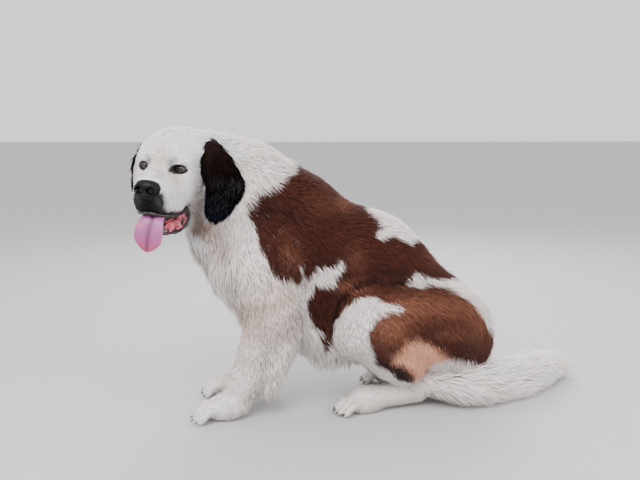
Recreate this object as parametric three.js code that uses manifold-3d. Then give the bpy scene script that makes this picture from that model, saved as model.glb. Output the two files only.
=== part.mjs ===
// A Saint Bernard sitting on its haunches, its head turned to its left and its mouth open.
// Life size, in millimetres, +Z up. The dog faces -X and its left side is towards -Y.
// One field of bones and muscles gives the whole body's surface. Each node is that surface
// wrapped round its own path and parted from its neighbours by flat cuts.
import * as THREE from 'three';
import { mergeVertices } from 'three/addons/utils/BufferGeometryUtils.js';
import Module from 'manifold-3d';

const wasm = await Module();
wasm.setup();

const LEFT = -1;
const RIGHT = 1;
const SIDES = [[LEFT, 'left'], [RIGHT, 'right']];
const GAP = 0.3;

const at = (x, y, z) => new THREE.Vector3(x, y, z);
const mirrored = (point, side) => at(point.x, side * Math.abs(point.y), point.z);
const moved = (point, dx) => at(point.x + dx, point.y, point.z);
const TOWARDS_TAIL = at(1, 0, 0);
const ACROSS = at(0, 1, 0);
const UP = at(0, 0, 1);

// The trunk, from the breast to the pelvis
const BREAST = at(-245, -10, 462);
const CHEST = at(-100, 0, 505);
const LOIN = at(140, 0, 405);
const PELVIS = at(340, 0, 240);
const RUMP = at(405, 10, 195);
const BELLY = at(20, 0, 280);
const SEAT = at(400, 8, 72);
const CHEST_RADIUS = 175;
const LOIN_RADIUS = 172;
const PELVIS_RADIUS = 158;

// The neck, from the withers to the skull
const WITHERS = at(-100, 0, 567);
const NAPE = at(-230, -30, 663);
const POLL = at(-360, -90, 712);
const THROAT = at(-325, -55, 545);

// The head, turned 20 degrees from square to the body's left, tipped down and rolled a little
const SKULL = at(-420, -120, 733);
const HEAD_TURN = 20;
const HEAD_DIP = 4;
const HEAD_ROLL = 5.4;
const EYE = at(80, 47, 11);
const EYE_RADIUS = 13;
const NOSE = at(181, 0, -31);
const NOSE_SIZE = at(23, 31, 22);

// The front legs
const SHOULDER = at(-80, 75, 602);
const POINT_OF_SHOULDER = at(-222, 104, 445);
const ELBOW = at(-155, 108, 322);
const FOREARM_TOP = at(-172, 103, 308);
const WRIST = at(-235, 100, 120);
const FOREPAW = at(-318, 102, 36);
const FAR_FORELEG_BACK = 30;
const TOE_SPREADS = [-0.74, -0.26, 0.26, 0.74];
// How far the round undersides would pass below the floor, which cuts them flat
const SOLE = 4;

// The hind legs, folded under the body; the far one is tucked further back
const HIP = at(350, 95, 252);
const KNEE = at(100, 158, 285);
const CALF = at(208, 138, 180);
const HOCK = at(270, 100, 85);
const HEEL = at(285, 95, 52);
const HINDPAW = at(98, 118, 34);
const FAR_HIND_BACK = 140;

// The tail's bones, curving round on the ground behind the dog
const TAIL = [
  at(385, -30, 112), at(450, -70, 62), at(525, -74, 50), at(600, -68, 48),
  at(672, -35, 47), at(740, 12, 45), at(810, 70, 42), at(848, 106, 40),
];
// Half the plume's thickness, which its locks make up
const TAIL_RADII = [48, 46, 46, 46, 44, 38, 26, 10];
const TAIL_LENGTHS = [[0, 3], [3, 5], [5, 7]];

const COAT = { brown: 0x6e3a28, white: 0xe6ded6, black: 0x1c1516, tan: 0xb98a63 };
const SKIN = { nose: 0x141214, tongue: 0xc9819f, eye: 0x3a2314, lip: 0x2a1c1e };

const turn = THREE.MathUtils.degToRad(HEAD_TURN);
const dip = THREE.MathUtils.degToRad(HEAD_DIP);
const roll = THREE.MathUtils.degToRad(-HEAD_ROLL);
const FACING = at(-Math.sin(turn) * Math.cos(dip), -Math.cos(turn) * Math.cos(dip), -Math.sin(dip));
const LEVEL_LEFT = new THREE.Vector3().crossVectors(UP, FACING).normalize();
const HEAD_LEFT = LEVEL_LEFT.clone().applyAxisAngle(FACING, roll);
const HEAD_UP = new THREE.Vector3().crossVectors(FACING, HEAD_LEFT);
const HEAD_AXES = [FACING, HEAD_LEFT, HEAD_UP];
const WORLD_AXES = [TOWARDS_TAIL, ACROSS, UP];

// A point of the head: forward, to the dog's left and up from the middle of the skull
function onHead(forward, left, up) {
  return SKULL.clone()
    .addScaledVector(FACING, forward)
    .addScaledVector(HEAD_LEFT, left)
    .addScaledVector(HEAD_UP, up);
}

// A tapering bone with its flesh, round or flattened across one direction
function bone(from, to, fromRadius, toRadius, blend, width = 1, across = ACROSS) {
  const along = to.clone().sub(from);
  const square = along.lengthSq();
  const flat = across.clone().addScaledVector(along, -across.dot(along) / square).normalize();
  const squeeze = 1 - 1 / width;
  const scale = Math.min(1, width);
  const distance = (x, y, z) => {
    const px = x - from.x;
    const py = y - from.y;
    const pz = z - from.z;
    const part = (px * along.x + py * along.y + pz * along.z) / square;
    const t = Math.min(1, Math.max(0, part));
    const qx = px - t * along.x;
    const qy = py - t * along.y;
    const qz = pz - t * along.z;
    const aside = (qx * flat.x + qy * flat.y + qz * flat.z) * squeeze;
    const rx = qx - aside * flat.x;
    const ry = qy - aside * flat.y;
    const rz = qz - aside * flat.z;
    return (Math.hypot(rx, ry, rz) - fromRadius - t * (toRadius - fromRadius)) * scale;
  };
  return { blend, distance };
}

// A rounded muscle with three half-lengths along its axes
function muscle(centre, size, blend, axes = WORLD_AXES) {
  const [a, b, c] = axes;
  const distance = (x, y, z) => {
    const px = x - centre.x;
    const py = y - centre.y;
    const pz = z - centre.z;
    const u = (px * a.x + py * a.y + pz * a.z) / size.x;
    const v = (px * b.x + py * b.y + pz * b.z) / size.y;
    const w = (px * c.x + py * c.y + pz * c.z) / size.z;
    const reach = Math.hypot(u, v, w);
    return reach * (reach - 1) / Math.max(Math.hypot(u / size.x, v / size.y, w / size.z), 1e-9);
  };
  return { blend, distance };
}

// The field of many masses: below nought inside them, with each one blended into the rest
function fleshOf(masses) {
  return (x, y, z) => {
    let depth = masses[0].distance(x, y, z);
    for (let i = 1; i < masses.length; i += 1) {
      const next = masses[i].distance(x, y, z);
      const k = masses[i].blend;
      const share = Math.min(1, Math.max(0, 0.5 + 0.5 * (next - depth) / k));
      depth = next * (1 - share) + depth * share - k * share * (1 - share);
    }
    return depth;
  };
}

const leaning = (degrees) => {
  const angle = THREE.MathUtils.degToRad(degrees);
  return [at(Math.cos(angle), 0, -Math.sin(angle)), ACROSS, at(Math.sin(angle), 0, Math.cos(angle))];
};

function trunkMasses() {
  return [
    bone(CHEST, LOIN, CHEST_RADIUS, CHEST_RADIUS, 50, 0.98),
    bone(LOIN, PELVIS, LOIN_RADIUS, PELVIS_RADIUS, 80),
    muscle(RUMP, at(125, 142, 160), 60),
    muscle(BELLY, at(150, 112, 114), 80),
    muscle(SEAT, at(95, 78, SEAT.z + SOLE), 40),
    muscle(BREAST, at(74, 108, 106), 60),
  ];
}

function neckMasses() {
  return [
    bone(WITHERS, NAPE, 154, 131, 80),
    bone(NAPE, POLL, 131, 113, 60),
    bone(at(-200, -20, 580), THROAT, 130, 60, 60),
  ];
}

function forelegMasses(side) {
  const shift = side === RIGHT ? FAR_FORELEG_BACK : 0;
  const place = (point) => mirrored(moved(point, shift), side);
  return [
    bone(mirrored(SHOULDER, side), mirrored(POINT_OF_SHOULDER, side), 85, 85, 70),
    bone(mirrored(POINT_OF_SHOULDER, side), mirrored(ELBOW, side), 85, 73, 60),
    bone(place(FOREARM_TOP), place(WRIST), 64, 43, 40),
    bone(place(WRIST), place(at(-262, 100, 55)), 43, 39, 30),
    bone(place(at(-132, 105, 262)), place(at(-182, 101, 110)), 34, 22, 30),
  ];
}

// A paw flat on the floor: its pad, and where its four toes start and end
function pawFrame(centre, splay, length, width) {
  const forward = at(-1, 0, 0).applyAxisAngle(UP, THREE.MathUtils.degToRad(-splay));
  const aside = new THREE.Vector3().crossVectors(UP, forward);
  const place = (f, s, z) => at(centre.x, centre.y, 0)
    .addScaledVector(forward, f * length)
    .addScaledVector(aside, s * width)
    .setZ(z * centre.z);
  const pad = muscle(place(-0.2, 0, 1), at(length * 0.66, width * 0.86, centre.z + SOLE), 30,
    [forward, aside, UP]);
  const toes = TOE_SPREADS.map((spread) => {
    const reach = 1 - 0.28 * spread * spread;
    return {
      heel: place(reach * 0.05, spread * 0.8, 1.1),
      knuckle: place(reach * 0.48, spread * 0.96, 1.0),
      tip: place(reach * 0.78, spread, 0.36),
      claw: place(reach * 1.0, spread * 1.02, 0.2),
      radius: width * 0.29,
    };
  });
  return { pad, toes };
}

function hindlegMasses(side) {
  const back = side === RIGHT ? FAR_HIND_BACK : 0;
  const place = (point, share) => mirrored(moved(point, back * share), side);
  return [
    bone(mirrored(HIP, side), place(KNEE, 0.2), 130, 95, 40),
    muscle(mirrored(at(405, 82, 215), side), at(110, 84, 118), 50),
    bone(place(at(92, 163, 255), 0.45), place(HOCK, 1), 75, 39, 30),
    muscle(place(CALF, 0.7), at(98, 62, 82), 25, leaning(40)),
    bone(place(HEEL, 1), place(at(120, 114, 38), 1), 40, 33, 25),
  ];
}

// The upper head: skull, brows, cheeks, muzzle and the hanging upper lips
function faceMasses() {
  const shape = (f, l, u, size, blend) => muscle(onHead(f, l, u), size, blend, HEAD_AXES);
  const masses = [
    shape(0, 0, 14, at(104, 97, 95), 45),
    shape(50, 0, 34, at(60, 70, 46), 30),
    bone(onHead(75, 0, -30), onHead(150, 0, -36), 55, 44, 25, 1.05, HEAD_LEFT),
    bone(onHead(85, 0, -2), onHead(172, 0, -22), 26, 21, 18, 1.15, HEAD_LEFT),
  ];
  for (const [side] of SIDES) {
    masses.push(
      shape(74, -side * 42, 30, at(26, 27, 15), 16),
      shape(22, -side * 58, -38, at(70, 42, 62), 35),
      shape(122, -side * 30, -66, at(55, 25, 40), 16),
    );
  }
  return masses;
}

function jawMasses() {
  const masses = [
    bone(onHead(-20, 0, -100), onHead(95, 0, -134), 52, 31, 30, 1.15, HEAD_LEFT),
    muscle(onHead(108, 0, -136), at(26, 27, 22), 15, HEAD_AXES),
  ];
  for (const [side] of SIDES) {
    masses.push(bone(onHead(30, -side * 44, -128), onHead(112, -side * 18, -128), 12, 9, 10));
  }
  return masses;
}

const forelegs = SIDES.flatMap(([side]) => forelegMasses(side));
const hindlegs = SIDES.flatMap(([side]) => hindlegMasses(side));
const paws = new Map(SIDES.flatMap(([side, word]) => [
  [`forepaw_${word}`, pawFrame(mirrored(moved(FOREPAW, side === RIGHT ? FAR_FORELEG_BACK : 0), side),
    side * 4, 82, 49)],
  [`hindpaw_${word}`, pawFrame(mirrored(moved(HINDPAW, side === RIGHT ? FAR_HIND_BACK : 0), side),
    side * 12, 84, 44)],
]));
const bodyMasses = [
  ...trunkMasses(), ...forelegs, ...neckMasses(), ...hindlegs, ...[...paws.values()].map((paw) => paw.pad),
];
const aboveFloor = (field) => (x, y, z) => Math.max(field(x, y, z), -z);
const upperBody = aboveFloor(fleshOf([...bodyMasses, ...faceMasses()]));
const lowerBody = aboveFloor(fleshOf([...bodyMasses, ...jawMasses()]));
const body = aboveFloor(fleshOf([...bodyMasses, ...faceMasses(), ...jawMasses()]));

// How far a ray runs from inside a field to its surface
function surfacePoint(field, origin, direction) {
  const limit = 520;
  let near = 0;
  let far = 0;
  const depth = (t) => field(origin.x + direction.x * t, origin.y + direction.y * t,
    origin.z + direction.z * t);
  let value = depth(0);
  if (value >= 0) {
    throw new Error(`the path leaves the flesh at ${origin.toArray().map(Math.round)}`);
  }
  while (value < 0 && far < limit) {
    near = far;
    far += Math.max(1.2, -value * 0.7);
    value = depth(far);
  }
  for (let i = 0; i < 12; i += 1) {
    const middle = (near + far) / 2;
    if (depth(middle) < 0) {
      near = middle;
    } else {
      far = middle;
    }
  }
  return origin.clone().addScaledVector(direction, (near + far) / 2);
}

// A closed solid from a geometry whose shared corners are merged
function solidOf(geometry) {
  const bare = geometry.clone();
  bare.deleteAttribute('normal');
  bare.deleteAttribute('uv');
  const welded = mergeVertices(bare, 1e-3);
  const index = [];
  for (let i = 0; i < welded.index.count; i += 3) {
    const corners = [0, 1, 2].map((k) => welded.index.getX(i + k));
    if (new Set(corners).size === 3) {
      index.push(...corners);
    }
  }
  const mesh = new wasm.Mesh({
    numProp: 3,
    vertProperties: new Float32Array(welded.attributes.position.array),
    triVerts: new Uint32Array(index),
  });
  return new wasm.Manifold(mesh);
}

function largestOf(solid) {
  const pieces = solid.decompose();
  return pieces.reduce((best, piece) => (piece.volume() > best.volume() ? piece : best));
}

// A geometry with every corner moved by a function, and corners that meet moved alike
function reshaped(geometry, place) {
  const points = geometry.attributes.position;
  const known = new Map();
  for (let i = 0; i < points.count; i += 1) {
    const corner = [points.getX(i), points.getY(i), points.getZ(i)];
    const key = corner.map((value) => Math.round(value * 1e5)).join();
    if (!known.has(key)) {
      known.set(key, place(...corner));
    }
    const { x, y, z } = known.get(key);
    points.setXYZ(i, x, y, z);
  }
  return geometry;
}

// The directions square to a path at a place along it
function frameOn(path, t, across) {
  const along = path.getTangent(t);
  const first = across.clone().addScaledVector(along, -across.dot(along)).normalize();
  return { along, first, second: new THREE.Vector3().crossVectors(first, along) };
}

// A capsule's points pushed out along their own rays from a path to the field's surface
function wrap(path, field, { sides, rows, caps, across = ACROSS }) {
  const capsule = new THREE.CapsuleGeometry(1, 2, caps, sides, rows);
  return solidOf(reshaped(capsule, (u, height, w) => {
    const onAxis = Math.min(1, Math.max(-1, height));
    const t = (onAxis + 1) / 2;
    const { along, first, second } = frameOn(path, t, across);
    const ray = first.multiplyScalar(u)
      .addScaledVector(along, height - onAxis)
      .addScaledVector(second, w)
      .normalize();
    return surfacePoint(field, path.getPoint(t), ray);
  }));
}

// A capsule's points laid along a path, with a half-width and a half-thickness at each place
function strip(path, halfWidth, halfThickness, { sides, rows, caps, across, bulge = () => 0 }) {
  const capsule = new THREE.CapsuleGeometry(1, 2, caps, sides, rows);
  return solidOf(reshaped(capsule, (u, height, w) => {
    const onAxis = Math.min(1, Math.max(-1, height));
    const t = (onAxis + 1) / 2;
    const { along, first, second } = frameOn(path, t, across);
    const thickness = halfThickness(t);
    return path.getPoint(t)
      .addScaledVector(first, u * halfWidth(t))
      .addScaledVector(along, (height - onAxis) * thickness)
      .addScaledVector(second, w * thickness + bulge(u, t, w));
  }));
}

// Random numbers from nought to one that are the same in every run
function dice(seed) {
  let state = seed * 7919 + 13;
  return () => {
    state = (state * 16807) % 2147483647;
    return state / 2147483647;
  };
}

function slopeOf(field, point) {
  const step = 2;
  const rise = (dx, dy, dz) => field(point.x + dx, point.y + dy, point.z + dz)
    - field(point.x - dx, point.y - dy, point.z - dz);
  return at(rise(step, 0, 0), rise(0, step, 0), rise(0, 0, step)).normalize();
}

// A point moved along the field's slope until it stands at a height over the flesh
function raised(field, point, height) {
  const result = point.clone();
  for (let i = 0; i < 3; i += 1) {
    const gap = height - field(result.x, result.y, result.z);
    result.addScaledVector(slopeOf(field, result), gap);
  }
  return result;
}

const LOCK_WIDTHS = [0.7, 1, 0.62, 0];
const LOCK_SINK = 13;

// A flat lock of coat: its root sunk in the flesh, its middle bent over it, its tip out at the
// coat's full depth. Hang turns it from lying along the coat towards hanging straight down.
function lockSolid(field, root, flow, { length, width, thickness, lift, hang = 0 }) {
  const normal = slopeOf(field, root);
  const lie = flow.clone().addScaledVector(normal, -flow.dot(normal)).normalize();
  lie.addScaledVector(UP, -hang).normalize();
  const outwards = (share, height) => {
    const point = root.clone().addScaledVector(lie, length * share);
    return hang > 0 ? point : raised(field, point, height);
  };
  const path = new THREE.CatmullRomCurve3([
    root.clone().addScaledVector(normal, -LOCK_SINK),
    outwards(0.3, lift * 0.55),
    outwards(0.66, lift * 0.95),
    outwards(1, lift),
  ]);
  const across = new THREE.Vector3().crossVectors(lie, normal);
  const shape = profile(LOCK_WIDTHS);
  const cone = new THREE.ConeGeometry(1, 1, 3, 3);
  return solidOf(reshaped(cone, (x, y, z) => {
    const t = y + 0.5;
    const ring = Math.max(1 - t, 1e-6);
    const { first, second } = frameOn(path, t, across);
    return path.getPoint(t)
      .addScaledVector(first, x / ring * width * shape(t))
      .addScaledVector(second, z / ring * thickness * shape(t));
  }));
}

// Rows of locks whose roots are found by rays from a line inside the flesh. Each row's rays
// fan out through the given directions, and every second row is set between the others.
function combed(field, { from, to, rows, fan, columns, flow, seed, ...size }) {
  const roll = dice(seed);
  const vary = (value, share) => value * (1 + share * (2 * roll() - 1));
  const locks = [];
  const fanned = new THREE.CatmullRomCurve3(fan);
  for (let row = 0; row < rows; row += 1) {
    for (let column = 0; column < columns; column += 1) {
      const along = (row + 0.5 + 0.3 * (roll() - 0.5)) / rows;
      const stagger = row % 2 === 0 ? 0.28 : 0.72;
      const round = (column + stagger + 0.3 * (roll() - 0.5)) / columns;
      const ray = fanned.getPoint(Math.min(1, Math.max(0, round))).normalize();
      const root = surfacePoint(field, from.clone().lerp(to, along), ray);
      const lie = typeof flow === 'function' ? flow(root, along) : flow.clone();
      lie.add(at(roll() - 0.5, roll() - 0.5, 0).multiplyScalar(0.35));
      locks.push(lockSolid(field, root, lie, {
        ...size, length: vary(size.length, 0.18), width: vary(size.width, 0.15),
        lift: vary(size.lift, 0.15),
      }));
    }
  }
  return locks;
}

// A value read off a list of evenly spaced ones
function profile(values) {
  return (t) => {
    const place = Math.min(Math.max(t, 0), 1) * (values.length - 1);
    const i = Math.min(Math.floor(place), values.length - 2);
    return THREE.MathUtils.lerp(values[i], values[i + 1], place - i);
  };
}

const facing = (point, normal) => ({ point, normal: normal.clone().normalize() });

function outsideOf(planes, x, y, z) {
  let out = -Infinity;
  for (const { point, normal } of planes) {
    const d = normal.x * (x - point.x) + normal.y * (y - point.y) + normal.z * (z - point.z);
    out = Math.max(out, d);
  }
  return out;
}

// The space behind all of a region's planes, grown or shrunk by an offset
function regionSolid(planes, offset) {
  const SPAN = 3000;
  const blocks = planes.map(({ point, normal }) => {
    const block = new THREE.BoxGeometry(SPAN, SPAN, SPAN);
    block.applyQuaternion(new THREE.Quaternion().setFromUnitVectors(UP, normal));
    const middle = point.clone().addScaledVector(normal, offset - SPAN / 2);
    block.translate(middle.x, middle.y, middle.z);
    return solidOf(block);
  });
  return blocks.reduce((whole, block) => whole.intersect(block));
}

// The parting planes. A region lies behind all of its planes.
const NECK_TO_HEAD = at(-0.62, -0.78, 0.08).normalize();
const headBase = facing(onHead(-52, 30, 0), NECK_TO_HEAD.clone().negate());
const chinBase = facing(onHead(60, 0, -172), at(0.12, 0.12, -1));
const mouthLine = facing(onHead(30, 0, -114), HEAD_UP.clone().negate());
const mouthRoof = facing(onHead(30, 0, -114), HEAD_UP);
const neckBase = facing(at(-213, -10, 655), at(0.66, 0.15, -0.74));
const loinCut = facing(at(185, 0, 380), at(0.95, 0, -0.3));

// Between the front leg and the hind leg of a side
const FLANK = at(-30, 0, 0);
const floorPlane = facing(at(0, 0, -GAP / 2), at(0, 0, -1));
const headRegion = [headBase, mouthLine];
const jawRegion = [headBase, mouthRoof, chinBase];
const neckRegion = [neckBase];
const torsoRegion = [loinCut];

function forepawRegion(side) {
  return [
    facing(at(0, 0, 82), UP),
    facing(at(0, side * 18, 0), at(0, -side, 0)),
    facing(at(-150, 0, 0), TOWARDS_TAIL),
  ];
}

function forelegRegion(side) {
  return [
    facing(at(-150, 0, 312), at(-0.1, 0, 1)),
    facing(at(0, side * 18, 0), at(0, -side, 0)),
    facing(FLANK, TOWARDS_TAIL),
  ];
}

function hindpawRegion(side) {
  const back = side === RIGHT ? FAR_HIND_BACK : 0;
  return [
    facing(at(0, 0, 74), UP),
    facing(at(0, side * 42, 0), at(0, -side, 0)),
    facing(at(338 + back, 0, 0), TOWARDS_TAIL),
  ];
}

function shankRegion(side) {
  const back = side === RIGHT ? FAR_HIND_BACK : 0;
  return [
    facing(at(60 + back * 0.2, 0, 314), at(0.47, 0, 0.883)),
    facing(at(0, side * 62, 0), at(0, -side, 0)),
    facing(FLANK, at(-1, 0, 0)),
    facing(at(372 + back, 0, 0), TOWARDS_TAIL),
  ];
}

function thighRegion(side) {
  return [
    facing(at(0, side * 100, 0), at(0, -side, 0)),
    facing(at(200, 0, 392), at(0.03, 0, 1)),
    facing(FLANK, at(-1, 0, 0)),
  ];
}

const along = (...points) => new THREE.CatmullRomCurve3(points);
const boneLine = (...points) => {
  const line = new THREE.CurvePath();
  points.slice(1).forEach((point, i) => line.add(new THREE.LineCurve3(points[i], point)));
  return line;
};

// The tail: three lengths end to end
function tailPart(index) {
  const [first, last] = TAIL_LENGTHS[index];
  const points = TAIL.slice(first, last + 1);
  const masses = TAIL.slice(1).map((point, i) => bone(TAIL[i], point, TAIL_RADII[i], TAIL_RADII[i + 1], 20));
  const region = [];
  const heading = (i) => TAIL[i + 1].clone().sub(TAIL[i - 1]);
  if (first > 0) {
    region.push(facing(TAIL[first], heading(first).negate()));
  }
  if (last < TAIL.length - 1) {
    region.push(facing(TAIL[last], heading(last)));
  }
  return {
    name: `tail_${index + 1}`, colour: COAT.white, path: along(...points),
    field: aboveFloor(fleshOf(masses)), region, beside: [], margin: 12,
    sides: 10, rows: 5, caps: 3,
  };
}

// Every node of flesh in the order in which they are parted: a later one gives way to the
// earlier ones that it names as beside it
function fleshParts() {
  const parts = [];
  const add = (name, colour, part) => parts.push({ name, colour, field: body, beside: [], ...part });
  for (const [side, word] of SIDES) {
    const front = side === RIGHT ? FAR_FORELEG_BACK : 0;
    const back = side === RIGHT ? FAR_HIND_BACK : 0;
    const place = (x, y, z) => at(x, side * y, z);
    add(`forepaw_${word}`, COAT.white, {
      path: along(place(-262 + front, 100, 42), place(-340 + front, 103, 28)),
      region: forepawRegion(side), margin: 16, sides: 14, rows: 3, caps: 3,
    });
    add(`foreleg_${word}`, COAT.white, {
      path: along(place(-160 + front, 106, 288), place(-200 + front, 103, 210),
        place(-238 + front, 100, 100)),
      region: forelegRegion(side), beside: [`forepaw_${word}`], margin: 16, sides: 16, rows: 8, caps: 3,
    });
    add(`hindpaw_${word}`, COAT.white, {
      path: along(place(268 + back, 96, 42), place(170 + back, 108, 34), place(82 + back, 120, 26)),
      region: hindpawRegion(side), margin: 14, sides: 14, rows: 6, caps: 3,
    });
    add(`shank_${word}`, COAT.white, {
      path: along(place(95 + back * 0.5, 150, 230), place(190 + back * 0.7, 128, 165),
        place(268 + back, 105, 105)),
      region: shankRegion(side), beside: [`hindpaw_${word}`], margin: 20, sides: 16, rows: 7, caps: 4,
    });
    add(`thigh_${word}`, COAT.brown, {
      path: along(place(105, 165, 318), place(250, 150, 290), place(410, 128, 230)),
      region: thighRegion(side), beside: [`shank_${word}`, `hindpaw_${word}`],
      margin: 40, sides: 20, rows: 9, caps: 5,
    });
  }
  add('head', COAT.white, {
    path: boneLine(onHead(-8, 0, 5), onHead(60, 0, -10), onHead(130, 0, -40)),
    field: upperBody, region: headRegion, across: HEAD_LEFT, margin: 16, sides: 28, rows: 14, caps: 8,
  });
  add('lower_jaw', COAT.white, {
    path: along(onHead(5, 0, -132), onHead(90, 0, -138)),
    field: lowerBody, region: jawRegion, across: HEAD_LEFT, margin: 14, sides: 16, rows: 5, caps: 4,
  });
  add('neck', COAT.white, {
    path: along(at(-235, -25, 640), at(-300, -62, 668)),
    region: neckRegion, beside: ['head', 'lower_jaw'], margin: 40, sides: 24, rows: 5, caps: 8,
  });
  const legs = SIDES.map(([, word]) => word);
  add('torso', COAT.brown, {
    path: along(at(-215, -5, 500), at(-40, 0, 450), at(110, 0, 380)),
    region: torsoRegion,
    beside: ['neck', ...legs.flatMap((w) => [`foreleg_${w}`, `thigh_${w}`, `shank_${w}`, `hindpaw_${w}`])],
    margin: 36, sides: 30, rows: 14, caps: 8,
  });
  add('rump', COAT.brown, {
    path: along(at(245, 0, 290), at(385, 5, 185)),
    region: [], beside: ['torso', ...legs.flatMap((w) => [`thigh_${w}`, `shank_${w}`, `hindpaw_${w}`])],
    margin: 40, sides: 24, rows: 6, caps: 7,
  });
  TAIL_LENGTHS.forEach((_, index) => parts.push(tailPart(index)));
  return parts;
}

const parts = fleshParts();
const partNamed = (name) => parts.find((part) => part.name === name);

// The field of one part, which stops a little past its own parting planes
function partedField(part, others) {
  const { field, region, margin } = part;
  return (x, y, z) => {
    let depth = field(x, y, z);
    if (region.length > 0) {
      depth = Math.max(depth, outsideOf(region, x, y, z) - margin);
    }
    for (const other of others) {
      depth = Math.max(depth, -outsideOf(other.region, x, y, z) - margin);
    }
    return depth;
  };
}

function partSolid(part, grow = 0) {
  const others = part.beside.map(partNamed);
  const field = partedField(part, others);
  let solid = wrap(part.path, (x, y, z) => field(x, y, z) - grow, part);
  if (part.region.length > 0) {
    solid = solid.intersect(regionSolid(part.region, grow - GAP / 2));
  }
  if (grow === 0) {
    for (const other of others) {
      solid = solid.subtract(regionSolid(other.region, GAP / 2));
    }
  }
  return largestOf(solid);
}

// The ears hang: the left one lies back on the neck, the right one against the cheek
const EAR_LEFT_LINE = [
  at(-321, -160, 804), at(-313, -181, 775), at(-307, -198, 747), at(-300, -204, 716),
  at(-289, -206, 687), at(-296, -205, 658), at(-307, -197, 628), at(-317, -186, 594),
];
const EAR_RIGHT_LINE = [
  onHead(-18, -78, 72), onHead(-16, -92, 46), onHead(-14, -101, 18), onHead(-12, -104, -12),
  onHead(-16, -105, -42), onHead(-22, -103, -74), onHead(-27, -99, -104), onHead(-32, -93, -136),
];
const EAR_HALF_WIDTHS = [15, 33, 51, 52, 62, 53, 40, 15];
const EAR_HALF_THICKNESS = 7;
const EAR_CUP = 7;
const EAR_LEFT_ACROSS = at(0.88, 0.45, 0.05);
const EAR_RIGHT_ACROSS = FACING.clone().negate();

// A hanging ear, a little hollow on the inner face
function earSolid(line, across, inward, grow = 0) {
  const widths = profile(EAR_HALF_WIDTHS);
  const cup = (u, t) => inward * EAR_CUP * (1 - u * u) * Math.sin(Math.PI * t);
  return strip(along(...line), (t) => widths(t) + grow, () => EAR_HALF_THICKNESS + grow,
    { sides: 12, rows: 9, caps: 2, across, bulge: cup });
}

function nosePart() {
  const pad = muscle(onHead(NOSE.x, NOSE.y, NOSE.z), NOSE_SIZE, 10, HEAD_AXES);
  const under = bone(onHead(NOSE.x + 2, 0, NOSE.z - 14), onHead(NOSE.x - 8, 0, NOSE.z - 52), 12, 7, 10);
  return {
    name: 'nose', colour: SKIN.nose, path: along(onHead(172, 0, -32), onHead(184, 0, -34)),
    field: fleshOf([pad, under]), region: [], beside: [], margin: 0, sides: 14, rows: 2, caps: 3,
    across: HEAD_LEFT,
  };
}

const TONGUE_LINE = [
  onHead(66, 0, -118), onHead(120, 0, -112), onHead(154, 0, -115), onHead(169, 0, -138),
  onHead(171, 0, -164), onHead(167, 0, -193),
];
const TONGUE_HALF_WIDTHS = [24, 28, 32, 36, 38, 25];
const TONGUE_HALF_THICKNESS = [7, 7, 7, 6, 6, 4];
const TONGUE_GROOVE = 4;

// The tongue lies over the lower lip and hangs, with a groove along the middle of its top
function tongueSolid(grow = 0) {
  const widths = profile(TONGUE_HALF_WIDTHS);
  const thickness = profile(TONGUE_HALF_THICKNESS);
  const groove = (u, t, w) => (w > 0 ? -TONGUE_GROOVE * Math.max(0, 1 - Math.abs(u) * 3) : 0);
  return strip(along(...TONGUE_LINE), (t) => widths(t) + grow, (t) => thickness(t) + grow,
    { sides: 12, rows: 9, caps: 2, across: HEAD_LEFT, bulge: grow > 0 ? () => 0 : groove });
}

function eyeSolid(side, radius) {
  const ball = new THREE.SphereGeometry(radius, 10, 7);
  const place = onHead(EYE.x, -side * EYE.y, EYE.z);
  ball.translate(place.x, place.y, place.z);
  return solidOf(ball);
}

// A ball stretched along the head's own directions
function headBall(place, size, sides = 12) {
  const ball = new THREE.SphereGeometry(1, sides, sides - 4);
  ball.scale(size.x, size.y, size.z);
  ball.applyMatrix4(new THREE.Matrix4().makeBasis(...HEAD_AXES));
  ball.translate(place.x, place.y, place.z);
  return solidOf(ball);
}

function meshOf(name, solid, colour) {
  const { vertProperties, triVerts, numProp } = solid.getMesh();
  const geometry = new THREE.BufferGeometry();
  const positions = new Float32Array(vertProperties.length / numProp * 3);
  for (let i = 0; i < positions.length / 3; i += 1) {
    positions.set(vertProperties.subarray(i * numProp, i * numProp + 3), i * 3);
  }
  geometry.setAttribute('position', new THREE.BufferAttribute(positions, 3));
  geometry.setIndex([...triVerts]);
  geometry.computeVertexNormals();
  const material = new THREE.MeshStandardMaterial({ color: colour, roughness: 0.9, metalness: 0 });
  const mesh = new THREE.Mesh(geometry, material);
  mesh.name = name;
  return mesh;
}

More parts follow.
